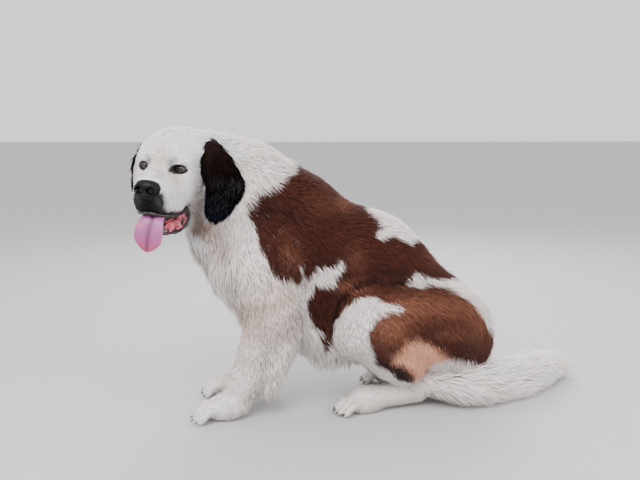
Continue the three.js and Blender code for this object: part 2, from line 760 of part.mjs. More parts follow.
// The long coat of each node that has it
function coatOf({ name, field }) {
  const side = name.endsWith('left') ? LEFT : RIGHT;
  const front = side === RIGHT ? FAR_FORELEG_BACK : 0;
  const place = (x, y, z) => at(x, side * y, z);
  if (name === 'torso') {
    return [
      ...combed(body, {
        from: at(-225, -8, 455), to: at(-205, -5, 360), rows: 3, columns: 5, seed: 3,
        fan: [at(-0.25, -1, -0.1), at(-1, -0.5, -0.15), at(-1, 0.4, -0.15), at(-0.25, 1, -0.1)],
        flow: at(0.3, 0, -1), length: 96, width: 33, thickness: 6, lift: 17,
      }),
      ...combed(body, {
        from: at(-45, 0, 270), to: at(85, 0, 252), rows: 2, columns: 3, seed: 5,
        fan: [at(0, -0.75, -1), at(0, 0, -1), at(0, 0.75, -1)],
        flow: at(0.9, 0, -0.4), length: 66, width: 27, thickness: 6, lift: 12, hang: 0.45,
      }),
    ];
  }
  if (name === 'neck') {
    return combed(body, {
      from: at(-285, -52, 640), to: at(-270, -35, 560), rows: 2, columns: 6, seed: 7,
      fan: [at(0.5, -1, 0), at(-0.8, -0.8, -0.5), at(-1, 0.5, -0.5), at(0.1, 1, 0)],
      flow: at(0.35, 0, -1), length: 92, width: 32, thickness: 6, lift: 14,
    });
  }
  if (name.startsWith('foreleg')) {
    return combed(body, {
      from: place(-165 + front, 104, 280), to: place(-222 + front, 100, 132), rows: 5, columns: 1,
      fan: [at(1, -side * 0.6, -0.1), at(1, 0, -0.1), at(1, side * 0.6, -0.1)], seed: 11 + side,
      flow: at(0.5, 0, -1), length: 62, width: 22, thickness: 6, lift: 18,
    });
  }
  if (name.startsWith('thigh')) {
    return combed(body, {
      from: place(415, 118, 262), to: place(430, 118, 205), rows: 2, columns: 2, seed: 17 + side,
      fan: [at(0.4, side, 0), at(1, side * 0.9, 0), at(1, side * 0.2, 0)],
      flow: at(0.1, 0, -1), length: 74, width: 28, thickness: 6, lift: 12,
    });
  }
  if (name === 'rump') {
    return combed(body, {
      from: at(400, 5, 285), to: at(410, 5, 200), rows: 2, columns: 2, seed: 23,
      fan: [at(1, -0.6, 0), at(1, 0, 0), at(1, 0.6, 0)],
      flow: at(0.2, 0, -1), length: 74, width: 28, thickness: 6, lift: 12,
    });
  }
  return name.startsWith('tail') ? plumeOf(field, Number(name.at(-1)) - 1) : [];
}

// A length of the plume. Its locks lie over the start of the next one, whose own begin behind
// their tips.
function plumeOf(field, index) {
  const [first, last] = TAIL_LENGTHS[index];
  const line = along(...TAIL.slice(first, last + 1));
  const starts = index === 0 ? 0.3 : 0.38;
  const locks = [];
  const rows = index === 2 ? 2 : 3;
  for (let row = 0; row < rows; row += 1) {
    const t = starts + (0.97 - starts) * row / (rows - 1);
    const origin = line.getPoint(t);
    const heading = line.getTangent(t);
    const sideways = new THREE.Vector3().crossVectors(UP, heading);
    locks.push(...combed(field, {
      from: origin, to: origin, rows: 1, columns: 3, seed: 31 + index * 5 + row,
      fan: [sideways.clone().addScaledVector(UP, -0.45), sideways.clone().addScaledVector(UP, 0.9),
        sideways.clone().multiplyScalar(-1).addScaledVector(UP, 0.9),
        sideways.clone().multiplyScalar(-1).addScaledVector(UP, -0.45)],
      flow: heading, length: 92, width: 29, thickness: 7, lift: 25,
    }));
  }
  return locks;
}

// A coated node cut back from the floor and from the flesh of the nodes that its locks reach
const REACHED = {
  torso: ['foreleg_left', 'foreleg_right', 'rump', 'thigh_left', 'thigh_right', 'shank_left',
    'shank_right', 'hindpaw_left', 'hindpaw_right', 'neck'],
  neck: ['head', 'lower_jaw', 'torso'],
  foreleg_left: ['torso', 'forepaw_left'],
  foreleg_right: ['torso', 'forepaw_right'],
  thigh_left: ['rump', 'shank_left', 'hindpaw_left', 'tail_1'],
  thigh_right: ['rump', 'shank_right', 'hindpaw_right'],
  rump: ['thigh_left', 'thigh_right', 'tail_1'],
  tail_1: ['rump', 'thigh_left', 'tail_2'],
  tail_2: ['tail_3'],
  tail_3: [],
};

function withCoat(part, solid, locks) {
  let coat = locks.reduce((whole, lock) => whole.add(lock));
  for (const name of REACHED[part.name]) {
    coat = coat.subtract(partSolid(partNamed(name), GAP * 0.9));
  }
  coat = coat.intersect(regionSolid([floorPlane], -GAP / 2));
  return largestOf(solid.add(coat));
}

const solids = new Map(parts.map((part) => [part.name, partSolid(part)]));
const colours = new Map(parts.map((part) => [part.name, part.colour]));

function keep(name, solid, colour) {
  solids.set(name, solid);
  colours.set(name, colour);
}

// A piece of its own, and the pocket for it in the nodes that it touches
function seat(name, colour, solid, pocket, hosts) {
  keep(name, solid, colour);
  for (const host of hosts) {
    solids.set(host, largestOf(solids.get(host).subtract(pocket)));
  }
}

function seatPart(part, hosts) {
  seat(part.name, part.colour, partSolid(part), partSolid(part, GAP), hosts);
}

seatPart(partNamed('tail_1'), ['rump', 'thigh_left', 'shank_left', 'hindpaw_left']);
for (const part of parts) {
  const locks = coatOf(part);
  if (locks.length > 0) {
    solids.set(part.name, withCoat(part, solids.get(part.name), locks));
  }
}

// Toes and claws are joined to the pad of each paw
for (const [name, { toes }] of paws) {
  const { region } = partNamed(name);
  let paw = solids.get(name);
  for (const { heel, knuckle, tip, claw, radius } of toes) {
    const thickness = profile([radius * 0.9, radius, radius * 0.92]);
    paw = paw.add(strip(along(heel, knuckle, tip), thickness, thickness,
      { sides: 6, rows: 2, caps: 2, across: ACROSS }));
    paw = paw.add(strip(new THREE.LineCurve3(tip, claw), profile([5, 2]), profile([6, 3]),
      { sides: 4, rows: 1, caps: 1, across: ACROSS }));
  }
  solids.set(name, largestOf(paw.intersect(regionSolid([...region, floorPlane], -GAP / 2))));
}

const mouth = headBall(onHead(95, 0, -112), at(72, 33, 19));
for (const name of ['head', 'lower_jaw']) {
  solids.set(name, largestOf(solids.get(name).subtract(mouth)));
}
seat('ear_left', COAT.black, earSolid(EAR_LEFT_LINE, EAR_LEFT_ACROSS, 1),
  earSolid(EAR_LEFT_LINE, EAR_LEFT_ACROSS, 1, GAP), ['head', 'neck']);
seat('ear_right', COAT.black, earSolid(EAR_RIGHT_LINE, EAR_RIGHT_ACROSS, 1),
  earSolid(EAR_RIGHT_LINE, EAR_RIGHT_ACROSS, 1, GAP), ['head', 'neck']);
seatPart(nosePart(), ['head']);
for (const [side] of SIDES) {
  const nostril = headBall(onHead(NOSE.x + 20, -side * 13, NOSE.z - 3), at(9, 6, 5), 8);
  solids.set('nose', largestOf(solids.get('nose').subtract(nostril)));
}
seat('tongue', SKIN.tongue, tongueSolid(), tongueSolid(GAP), ['head', 'lower_jaw']);
for (const [side, word] of SIDES) {
  const lids = headBall(onHead(EYE.x + 1, -side * EYE.y, EYE.z), at(15, 21, 16));
  const opening = headBall(onHead(EYE.x + 15, -side * (EYE.y + 1), EYE.z), at(12, 13, 8));
  const socket = eyeSolid(side, EYE_RADIUS + GAP);
  solids.set('head', largestOf(solids.get('head').add(lids).subtract(opening).subtract(socket)));
  keep(`eye_${word}`, eyeSolid(side, EYE_RADIUS), SKIN.eye);
}

const dog = new THREE.Group();
for (const [name, solid] of solids) {
  dog.add(meshOf(name, solid, colours.get(name)));
}
const bounds = new THREE.Box3().setFromObject(dog);
dog.position.set(-(bounds.min.x + bounds.max.x) / 2, -(bounds.min.y + bounds.max.y) / 2, -bounds.min.z);

export default dog;
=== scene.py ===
"""A life-size Saint Bernard sitting on its haunches: skin, coat and face over its solids.

Sizes are in metres in the dog's own frame, unless a name says millimetres. The dog faces -X,
its left side is towards -Y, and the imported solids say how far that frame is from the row's.
"""
import logging
import math
from collections.abc import Callable, Sequence
from dataclasses import dataclass
from enum import Enum

import bpy
import numpy as np
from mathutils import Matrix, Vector, kdtree


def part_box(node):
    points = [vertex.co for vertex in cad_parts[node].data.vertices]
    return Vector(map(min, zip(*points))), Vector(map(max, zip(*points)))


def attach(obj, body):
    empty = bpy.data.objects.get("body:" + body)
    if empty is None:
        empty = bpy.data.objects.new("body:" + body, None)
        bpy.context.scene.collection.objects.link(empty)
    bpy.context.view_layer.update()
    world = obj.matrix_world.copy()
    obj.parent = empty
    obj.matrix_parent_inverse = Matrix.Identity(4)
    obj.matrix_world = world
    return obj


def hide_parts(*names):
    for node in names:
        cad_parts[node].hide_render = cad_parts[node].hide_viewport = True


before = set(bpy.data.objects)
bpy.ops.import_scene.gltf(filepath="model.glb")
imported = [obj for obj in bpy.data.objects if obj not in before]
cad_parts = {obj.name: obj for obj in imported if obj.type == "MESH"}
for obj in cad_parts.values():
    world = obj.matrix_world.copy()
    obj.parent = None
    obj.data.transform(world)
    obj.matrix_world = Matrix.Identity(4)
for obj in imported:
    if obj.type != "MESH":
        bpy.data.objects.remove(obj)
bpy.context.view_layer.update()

LOG = logging.getLogger("saint_bernard")

Points = np.ndarray
Values = np.ndarray
Triple = tuple[float, float, float]
Outline = Sequence[tuple[float, float]]
Patches = Sequence[tuple[float, ...]]

Y_AXIS = np.array([0.0, 1.0, 0.0])
Z_AXIS = np.array([0.0, 0.0, 1.0])
MM = 0.001
# How far flesh and hair stay above the floor
FLESH_GAP = 0.0015
HAIR_GAP = 0.002


def unit(vectors: Points) -> Points:
    """Give the vectors a length of one."""
    return vectors / np.maximum(np.linalg.norm(vectors, axis=-1, keepdims=True), 1e-12)


def smooth_step(low: float, high: float, values: Values) -> Values:
    """Rise smoothly from nought at low to one at high."""
    share = np.clip((values - low) / (high - low), 0.0, 1.0)
    return share * share * (3.0 - 2.0 * share)


def linear(red: int, green: int, blue: int) -> np.ndarray:
    """Turn a screen colour into a linear one.

    Args:
        red: Red from 0 to 255.
        green: Green from 0 to 255.
        blue: Blue from 0 to 255.

    Returns:
        The three linear values.
    """
    screen = np.array([red, green, blue]) / 255.0
    return np.where(screen <= 0.04045, screen / 12.92, ((screen + 0.055) / 1.055) ** 2.4)


def lay(under: Points, tint: np.ndarray, amount: Values) -> Points:
    """Lay a tint over colours, by an amount at each."""
    return under * (1 - amount[:, None]) + tint * amount[:, None]


def puff(*spans: tuple[Values, float, float]) -> Values:
    """Give a soft blob that is one in its middle.

    Args:
        spans: For each direction the places, the blob's middle and its radius.

    Returns:
        The blob's strength at each place.
    """
    total = 0.0
    for places, middle, radius in spans:
        total = total - ((places - middle) / radius) ** 2
    return np.exp(total)


def drafted(count: int) -> int:
    return count


# ---- the head's own frame ----

SKULL = np.array([-420.0, -120.0, 733.0]) * MM
HEAD_TURN, HEAD_DIP, HEAD_ROLL = (math.radians(a) for a in (20.0, 4.0, -5.4))
FACING = np.array(
    [
        -math.sin(HEAD_TURN) * math.cos(HEAD_DIP),
        -math.cos(HEAD_TURN) * math.cos(HEAD_DIP),
        -math.sin(HEAD_DIP),
    ]
)
LEVEL = unit(np.cross(Z_AXIS, FACING))
HEAD_LEFT = LEVEL * math.cos(HEAD_ROLL) + np.cross(FACING, LEVEL) * math.sin(HEAD_ROLL)
HEAD_UP = np.cross(FACING, HEAD_LEFT)
HEAD_AXES = np.array([FACING, HEAD_LEFT, HEAD_UP])
EYE_MM = (80.0, 47.0, 11.0)
EYE_RADIUS = 0.013
NOSE_MM = (181.0, 0.0, -31.0)


def on_head(forward: float, left: float, up: float) -> np.ndarray:
    """Place a point of the head, given in millimetres from the middle of the skull."""
    return SKULL + (FACING * forward + HEAD_LEFT * left + HEAD_UP * up) * MM


def in_head(points: Points) -> Points:
    """Give points in the head's own millimetres: forward, left and up."""
    return (points - SKULL) @ HEAD_AXES.T / MM


EYE_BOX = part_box("eye_left")
SHIFT = np.array((EYE_BOX[0] + EYE_BOX[1]) / 2) - on_head(*EYE_MM)


@dataclass(frozen=True)
class Sight:
    """The place that the dog is seen from, which also lays out its markings.

    Attributes:
        turn: Its place round the dog, in degrees from square to the left side.
        away: How far it is from the middle of the dog's frame.
        height: How high it is.
        focal: The focal length in pixels of a picture 640 wide and 480 high.
        horizon: The row of the horizon in that picture.
        middle: The column and row of the picture's middle.
    """

    turn: float = -10.0
    away: float = 2.1
    height: float = 0.812
    focal: float = 700.0
    horizon: float = 138.0
    middle: tuple[float, float] = (320.0, 240.0)

    @property
    def place(self) -> np.ndarray:
        """Where it is, in the dog's frame."""
        turn = math.radians(self.turn)
        return np.array([math.sin(turn) * self.away, -math.cos(turn) * self.away, self.height])

    @property
    def ahead(self) -> np.ndarray:
        """The direction that it looks in."""
        turn, pitch = math.radians(self.turn), math.atan2(self.middle[1] - self.horizon, self.focal)
        flat = math.cos(pitch)
        return np.array([-math.sin(turn) * flat, math.cos(turn) * flat, -math.sin(pitch)])

    def seen(self, points: Points) -> Points:
        """Say in which column and row of the picture each point is seen.

        Args:
            points: The points.

        Returns:
            The column and row of each.
        """
        right = unit(np.cross(self.ahead, Z_AXIS))
        upward = np.cross(right, self.ahead)
        away = points - self.place
        scale = self.focal / (away @ self.ahead)
        column, row = self.middle
        return np.stack([column + away @ right * scale, row - away @ upward * scale], -1)


SIGHT = Sight()


# ---- flesh ----


@dataclass(frozen=True)
class Bone:
    """A tapering bone with its flesh, sizes in millimetres.

    Attributes:
        start: One end.
        end: The other end.
        radii: The radius at each end.
        blend: How softly it joins the rest.
        width: How much wider it is across than deep.
        across: The direction of that width.
    """

    start: Sequence[float]
    end: Sequence[float]
    radii: tuple[float, float]
    blend: float
    width: float = 1.0
    across: Sequence[float] = (0.0, 1.0, 0.0)

    def depth(self, points: Points) -> Values:
        """Measure how far points are outside the bone's flesh.

        Args:
            points: Where the depth is wanted.

        Returns:
            The depth, below nought inside.
        """
        start, end = (np.asarray(v, float) * MM for v in (self.start, self.end))
        along = end - start
        square = along @ along
        share = np.clip((points - start) @ along / square, 0.0, 1.0)
        away = points - start - share[:, None] * along
        if self.width != 1.0:
            across = np.asarray(self.across, float)
            across = unit(across - along * (across @ along) / square)
            away = away - ((away @ across) * (1 - 1 / self.width))[:, None] * across
        thick = self.radii[0] + share * (self.radii[1] - self.radii[0])
        return (np.linalg.norm(away, axis=1) - thick * MM) * min(1.0, self.width)


@dataclass(frozen=True)
class Muscle:
    """A rounded muscle, sizes in millimetres.

    Attributes:
        centre: Its middle.
        size: Its three half-lengths.
        blend: How softly it joins the rest.
        axes: The directions of the half-lengths.
    """

    centre: Sequence[float]
    size: Sequence[float]
    blend: float
    axes: Sequence[Sequence[float]] = ((1.0, 0.0, 0.0), (0.0, 1.0, 0.0), (0.0, 0.0, 1.0))

    def depth(self, points: Points) -> Values:
        """Measure how far points are outside the muscle.

        Args:
            points: Where the depth is wanted.

        Returns:
            The depth, below nought inside.
        """
        size = np.asarray(self.size, float) * MM
        local = (points - np.asarray(self.centre, float) * MM) @ np.asarray(self.axes).T
        reach = np.linalg.norm(local / size, axis=1)
        steep = np.linalg.norm(local / size**2, axis=1)
        return reach * (reach - 1) / np.maximum(steep, 1e-9)


Mass = Bone | Muscle


def soft_union(depth: Values, other: Values, blend: float) -> Values:
    """Join two depths with a soft blend."""
    share = np.clip(0.5 + 0.5 * (other - depth) / blend, 0.0, 1.0)
    return other * (1 - share) + depth * share - blend * share * (1 - share)


def blended(masses: Sequence[Mass], points: Points, depth: Values | None = None) -> Values:
    """Measure how far points are outside many masses that blend into each other.

    Args:
        masses: The masses in order.
        points: Where the depth is wanted.
        depth: A depth already measured there, which they blend into.

    Returns:
        The depth, below nought inside.
    """
    for mass in masses:
        other = mass.depth(points)
        depth = other if depth is None else soft_union(depth, other, mass.blend * MM)
    return depth


def head_bone(start: Triple, end: Triple, radii: tuple[float, float], blend: float, width: float = 1.0) -> Bone:
    """Make a bone whose ends are in the head's own millimetres."""
    return Bone(on_head(*start) / MM, on_head(*end) / MM, radii, blend, width, HEAD_LEFT)


def head_muscle(place: Triple, size: Triple, blend: float) -> Muscle:
    """Make a muscle that lies in the head's own directions."""
    return Muscle(on_head(*place) / MM, size, blend, HEAD_AXES)


def leaning(degrees: float) -> list[np.ndarray]:
    """Give the axes of a muscle that leans backwards and down.

    Args:
        degrees: How far it leans.

    Returns:
        The three axes.
    """
    angle = math.radians(degrees)
    return [
        np.array([math.cos(angle), 0.0, -math.sin(angle)]),
        Y_AXIS,
        np.array([math.sin(angle), 0.0, math.cos(angle)]),
    ]


class Side(Enum):
    """A side of the dog, and how far its legs are behind the near ones in millimetres."""

    LEFT = (-1, 0.0, 0.0)
    RIGHT = (1, 30.0, 140.0)

    @property
    def sign(self) -> int:
        """The side's direction along Y."""
        return self.value[0]

    def fore(self, x: float, y: float, z: float) -> np.ndarray:
        """Place a point of the side's foreleg."""
        return np.array([x + self.value[1], self.sign * y, z])

    def hind(self, x: float, y: float, z: float, share: float = 1.0) -> np.ndarray:
        """Place a point of the side's hind leg, which moves back by a share."""
        return np.array([x + self.value[2] * share, self.sign * y, z])

    def trunk(self, x: float, y: float, z: float) -> np.ndarray:
        """Place a point of the trunk."""
        return np.array([x, self.sign * y, z])


# How far each toe is to the side, and its parts' places by shares of the paw's half length, width and height
TOE_SPREADS = (-0.74, -0.26, 0.26, 0.74)
TOE_SHAPE = {"heel": (0.05, 0.8, 1.1), "knuckle": (0.48, 0.96, 1.0), "tip": (0.78, 1.0, 0.4), "claw": (1.0, 1.02, 0.2)}


@dataclass(frozen=True)
class Paw:
    """A paw on the floor, in millimetres.

    Attributes:
        centre: The middle of the pad's place.
        splay: How far it turns outwards, in degrees.
        length: Half its length.
        width: Half its width.
        height: Half its height.
    """

    centre: np.ndarray
    splay: float
    length: float
    width: float
    height: float

    @property
    def ahead(self) -> np.ndarray:
        """The direction that its toes point in."""
        turn = math.radians(self.splay)
        return np.array([-math.cos(turn), math.sin(turn), 0.0])

    def place(self, forward: float, aside: float, up: float) -> np.ndarray:
        """Place a point by shares of the paw's length, width and height."""
        across = np.cross(Z_AXIS, self.ahead)
        place = self.centre + self.ahead * forward * self.length + across * aside * self.width
        return np.array([place[0], place[1], up * self.height])

    def toes(self) -> list[dict[str, np.ndarray]]:
        """Give where each of the four toes starts, bends and ends, and its claw's tip."""
        return [
            {
                part: self.place((1 - 0.28 * spread * spread) * forward, spread * aside, up)
                for part, (forward, aside, up) in TOE_SHAPE.items()
            }
            for spread in TOE_SPREADS
        ]

    def masses(self) -> list[Mass]:
        """Give the pad and the toes."""
        size = (self.length * 0.66, self.width * 0.86, self.height + 4)
        axes = (self.ahead, np.cross(Z_AXIS, self.ahead), Z_AXIS)
        masses: list[Mass] = [Muscle(self.place(-0.2, 0, 1), size, 30, axes)]
        radius = self.width * 0.29
        for toe in self.toes():
            masses.append(Bone(toe["heel"], toe["knuckle"], (radius * 0.9, radius), 5))
            masses.append(Bone(toe["knuckle"], toe["tip"], (radius, radius * 0.9), 4))
        return masses


def paws() -> list[Paw]:
    """Give the four paws: the two front ones, then the two hind ones."""
    front = [Paw(side.fore(-318, 102, 0), side.sign * 4, 82, 49, 36) for side in Side]
    return front + [Paw(side.hind(98, 118, 0), side.sign * 12, 84, 44, 34) for side in Side]


@dataclass
class Flesh:
    """The dog's outline out to its coat's tips, as blended bones and muscles.

    Attributes:
        head_reach: How far from the skull's middle the head's own masses count.
        mouth_line: The height of the line between the jaws, in the head's own millimetres.
        hinge: How far the jaws run into each other behind the mouth.
        fold_width: How far from a fold's line the skin sinks.
        fold_depth: How many millimetres it sinks there.
    """

    head_reach: float = 0.36
    mouth_line: float = -114.0
    hinge: float = 0.09
    fold_width: float = 15 * MM
    fold_depth: float = 2.4

    def __post_init__(self) -> None:
        """Lay out the masses of the body, the upper head and the lower jaw."""
        self.body = self.trunk() + self.neck()
        for side in Side:
            self.body += self.foreleg(side) + self.hindleg(side)
        for paw in paws():
            self.body += paw.masses()
        self.face, self.jaw = self.upper_head(), self.lower_head()

    def trunk(self) -> list[Mass]:
        """Give the chest, loin, pelvis, belly, seat and breast."""
        return [
            Bone((-100, 0, 505), (140, 0, 405), (175, 175), 50, 0.98),
            Bone((140, 0, 405), (340, 0, 240), (172, 158), 80),
            Muscle((405, 10, 195), (135, 152, 170), 60),
            Muscle((20, 0, 280), (150, 120, 130), 80),
            Muscle((400, 8, 72), (95, 78, 76), 40),
            Muscle((-245, -10, 462), (88, 120, 118), 60),
        ]

    def neck(self) -> list[Mass]:
        """Give the neck and throat."""
        return [
            Bone((-100, 0, 567), (-230, -30, 658), (155, 137), 80),
            Bone((-230, -30, 658), (-360, -90, 712), (137, 115), 60),
            Bone((-200, -20, 580), (-325, -55, 545), (138, 76), 60),
            Muscle((-300, -75, 796), (52, 62, 34), 30),
        ]

    def foreleg(self, side: Side) -> list[Mass]:
        """Give the shoulder and front leg of a side."""
        return [
            Bone(side.trunk(-80, 75, 602), side.trunk(-222, 104, 445), (85, 85), 70),
            Bone(side.trunk(-222, 104, 445), side.trunk(-155, 108, 322), (85, 73), 60),
            Bone(side.fore(-172, 103, 308), side.fore(-235, 100, 120), (64, 43), 40),
            Bone(side.fore(-235, 100, 120), side.fore(-262, 100, 55), (43, 39), 30),
            Bone(side.fore(-122, 105, 262), side.fore(-172, 101, 110), (46, 30), 30),
        ]

    def hindleg(self, side: Side) -> list[Mass]:
        """Give the thigh, calf, hock and foot of a side."""
        return [
            Bone(side.trunk(350, 95, 252), side.hind(100, 158, 285, 0.2), (130, 95), 40),
            Muscle(side.trunk(405, 82, 215), (120, 90, 125), 50),
            Bone(side.hind(92, 163, 255, 0.45), side.hind(270, 100, 85), (75, 39), 30),
            Muscle(side.hind(208, 138, 180, 0.7), (98, 62, 82), 25, leaning(40)),
            Bone(side.hind(285, 95, 52), side.hind(120, 114, 38), (40, 33), 25),
        ]

    def upper_head(self) -> list[Mass]:
        """Give the skull, brows, cheeks, muzzle and hanging upper lips."""
        masses: list[Mass] = [
            head_muscle((0, 0, 14), (104, 97, 95), 45),
            head_muscle((50, 0, 34), (60, 70, 46), 30),
            head_bone((75, 0, -30), (150, 0, -36), (55, 44), 25, 1.05),
            head_bone((85, 0, -2), (172, 0, -22), (26, 21), 18, 1.15),
            head_muscle((148, 0, -76), (23, 32, 30), 14),
        ]
        for side in (-1, 1):
            masses += [
                head_muscle((74, side * 42, 30), (26, 27, 15), 16),
                head_muscle((22, side * 58, -38), (70, 42, 62), 35),
                head_muscle((122, side * 30, -66), (55, 25, 40), 16),
                head_muscle((86, side * 45, -80), (38, 17, 24), 10),
            ]
        return masses

    def lower_head(self) -> list[Mass]:
        """Give the lower jaw, chin and lower lips."""
        return [
            head_bone((-20, 0, -100), (95, 0, -134), (52, 31), 30, 1.15),
            head_muscle((106, 0, -140), (27, 29, 26), 15),
            *(head_bone((30, side * 44, -128), (112, side * 18, -128), (12, 9), 10) for side in (-1, 1)),
        ]

    def depth(self, points: Points) -> Values:
        """Measure how far points are outside the outline.

        Args:
            points: Where the depth is wanted.

        Returns:
            The depth, below nought inside.
        """
        near = np.linalg.norm(points - SKULL, axis=1) < self.head_reach
        result = np.empty(len(points))
        result[~near] = blended(self.body, points[~near])
        if near.any():
            result[near] = self.head_depth(points[near])
        return np.maximum(result, FLESH_GAP - points[:, 2])

    def head_depth(self, points: Points) -> Values:
        """Measure the same near the head, with the open mouth and the eyes' places left out.

        Args:
            points: Where the depth is wanted.

        Returns:
            The depth, below nought inside.
        """
        body = blended(self.body, points)
        upper, lower = (blended(masses, points, body) for masses in (self.face, self.jaw))
        local = in_head(points)
        height = (local[:, 2] - self.mouth_line) * MM
        joined = self.hinge * smooth_step(45, 5, local[:, 0])
        closed = np.minimum(np.maximum(upper, -height - joined), np.maximum(lower, height - joined))
        local = local * MM
        for fold in self.folds():
            closed = closed + smooth_step(self.fold_width, 0.0, fold.depth(local)) * self.fold_depth * MM
        hollow = Muscle((95, 0, -112), (76, 35, 19), 1).depth(local)
        forward, aside, up = EYE_MM
        for side in (-1, 1):
            lid = Muscle((forward + 1, side * aside, up), (15, 21, 16), 1).depth(local)
            closed = soft_union(closed, lid, 6 * MM)
            eye = Muscle((forward + 15, side * (aside + 1), up), (14, 15, 9), 1).depth(local)
            hollow = np.minimum(hollow, eye)
        return np.maximum(closed, -hollow)

    @staticmethod
    def folds() -> list[Bone]:
        """Give the soft folds of the face's skin, in the head's own millimetres."""
        found = []
        for side in (-1, 1):
            found += [
                Bone((58, side * 72, -92), (66, side * 74, -66), (1.5, 0.8), 1),
                Bone((104, side * 44, -14), (112, side * 52, -44), (1.2, 0.5), 1),
                Bone((84, side * 24, 34), (66, side * 26, 62), (1.2, 0.4), 1),
            ]
        return found


# ---- the comb: how the coat lies ----


class Zone(Enum):
    """A part of the coat that is made as one piece, with the line that its unwrap turns round."""

    HEAD = ((-0.39, -0.03, 0.73), (-0.47, -0.28, 0.70))
    NECK = ((-0.10, 0.0, 0.56), (-0.38, -0.09, 0.70))
    CHEST = ((-0.20, -0.01, 0.60), (-0.22, 0.0, 0.34))
    BACK = ((-0.16, 0.0, 0.52), (0.28, 0.0, 0.32))
    BELLY = ((-0.16, 0.0, 0.34), (0.20, 0.0, 0.24))
    RUMP = ((0.26, 0.0, 0.30), (0.44, 0.0, 0.14))
    FORELEG_LEFT = ((-0.17, -0.104, 0.34), (-0.30, -0.100, 0.03))
    FORELEG_RIGHT = ((-0.14, 0.104, 0.34), (-0.27, 0.100, 0.03))
    THIGH_LEFT = ((0.08, -0.12, 0.30), (0.46, -0.09, 0.20))
    THIGH_RIGHT = ((0.10, 0.12, 0.30), (0.46, 0.09, 0.20))
    HINDFOOT_LEFT = ((0.29, -0.095, 0.05), (0.05, -0.12, 0.03))
    HINDFOOT_RIGHT = ((0.43, 0.095, 0.05), (0.19, 0.12, 0.03))

    @property
    def number(self) -> int:
        """The zone's place in their order."""
        return list(Zone).index(self)


@dataclass(frozen=True)
class Guide:
    """One mark on the body that says how the coat lies round it.

    Attributes:
        zone: The piece of coat that it belongs to.
        place: Its place, in metres.
        lie: The direction that hair takes there.
        length: The hair's length in metres.
        depth: How deep the skin lies under the outline.
        hang: How far hair falls straight down and leaves the skin, from nought to one.
    """

    zone: Zone
    place: np.ndarray
    lie: np.ndarray
    length: float
    depth: float
    hang: float


# Zone, place and lie, then length and depth in millimetres and the hang
TRUNK_ROWS = (
    (Zone.CHEST, (-330, 40, 480), (-0.2, 0, -1), 108, 22, 0.5),
    (Zone.CHEST, (-290, 115, 455), (0.15, 0, -1), 84, 18, 0.3),
    (Zone.CHEST, (-285, 55, 372), (0.25, 0, -1), 88, 18, 0.6),
    (Zone.CHEST, (-205, 185, 550), (0.4, 0, -0.9), 62, 16, 0.0),
    (Zone.CHEST, (-205, 190, 430), (0.25, 0, -1), 58, 14, 0.0),
    (Zone.BACK, (-60, 60, 690), (0.9, 0.12, -0.4), 44, 14, 0.0),
    (Zone.BACK, (60, 60, 600), (0.85, 0.1, -0.5), 42, 14, 0.0),
    (Zone.BACK, (-60, 175, 540), (0.6, 0, -0.8), 42, 14, 0.0),
    (Zone.BACK, (-60, 165, 420), (0.45, 0, -0.9), 42, 13, 0.0),
    (Zone.BACK, (60, 175, 470), (0.6, 0, -0.8), 40, 13, 0.0),
    (Zone.BACK, (180, 165, 420), (0.65, 0, -0.75), 40, 13, 0.0),
    (Zone.BACK, (200, 60, 540), (0.8, 0, -0.6), 42, 14, 0.0),
    (Zone.RUMP, (330, 60, 415), (0.6, 0, -0.8), 58, 16, 0.0),
    (Zone.RUMP, (470, 50, 300), (0.35, 0, -1), 62, 18, 0.1),
    (Zone.RUMP, (525, 50, 200), (0.25, 0, -1), 74, 18, 0.3),
    (Zone.BELLY, (0, 40, 152), (0.4, 0, -0.9), 88, 14, 0.85),
    (Zone.BELLY, (60, 80, 165), (0.4, 0, -0.9), 80, 14, 0.85),
    (Zone.BELLY, (-10, 110, 240), (0.5, 0, -0.85), 58, 14, 0.3),
    (Zone.BELLY, (-150, 30, 325), (0.6, 0, -0.7), 74, 15, 0.7),
    (Zone.BELLY, (150, 40, 200), (0.8, 0, -0.4), 40, 12, 0.2),
)
FORELEG_ROWS = (
    ((-195, 172, 350), (0.1, 0, -1), 36, 9, 0.0),
    ((-205, 158, 240), (-0.25, 0, -0.95), 24, 6, 0.0),
    ((-205, 50, 240), (-0.2, 0, -0.95), 24, 6, 0.0),
    ((-250, 100, 240), (-0.3, 0, -0.95), 18, 5, 0.0),
    ((-110, 105, 245), (0.6, 0, -0.8), 70, 17, 0.5),
    ((-150, 105, 160), (0.45, 0, -0.9), 64, 14, 0.75),
    ((-250, 140, 110), (-0.3, 0, -0.95), 15, 4, 0.0),
    ((-280, 100, 110), (-0.4, 0, -0.9), 13, 4, 0.0),
    ((-215, 100, 70), (0.5, 0, -0.85), 44, 9, 0.3),
    ((-165, 100, 98), (0.3, 0, -0.95), 56, 12, 0.9),
    ((-130, 100, 125), (0.3, 0, -0.95), 60, 13, 0.9),
    ((-330, 102, 66), (-0.9, 0, -0.35), 11, 3.5, 0.0),
    ((-385, 102, 30), (-0.8, 0, -0.55), 8, 2.5, 0.0),
    ((-320, 150, 25), (-0.95, 0, -0.2), 10, 3, 0.0),
    ((-320, 55, 25), (-0.95, 0, -0.2), 10, 3, 0.0),
)
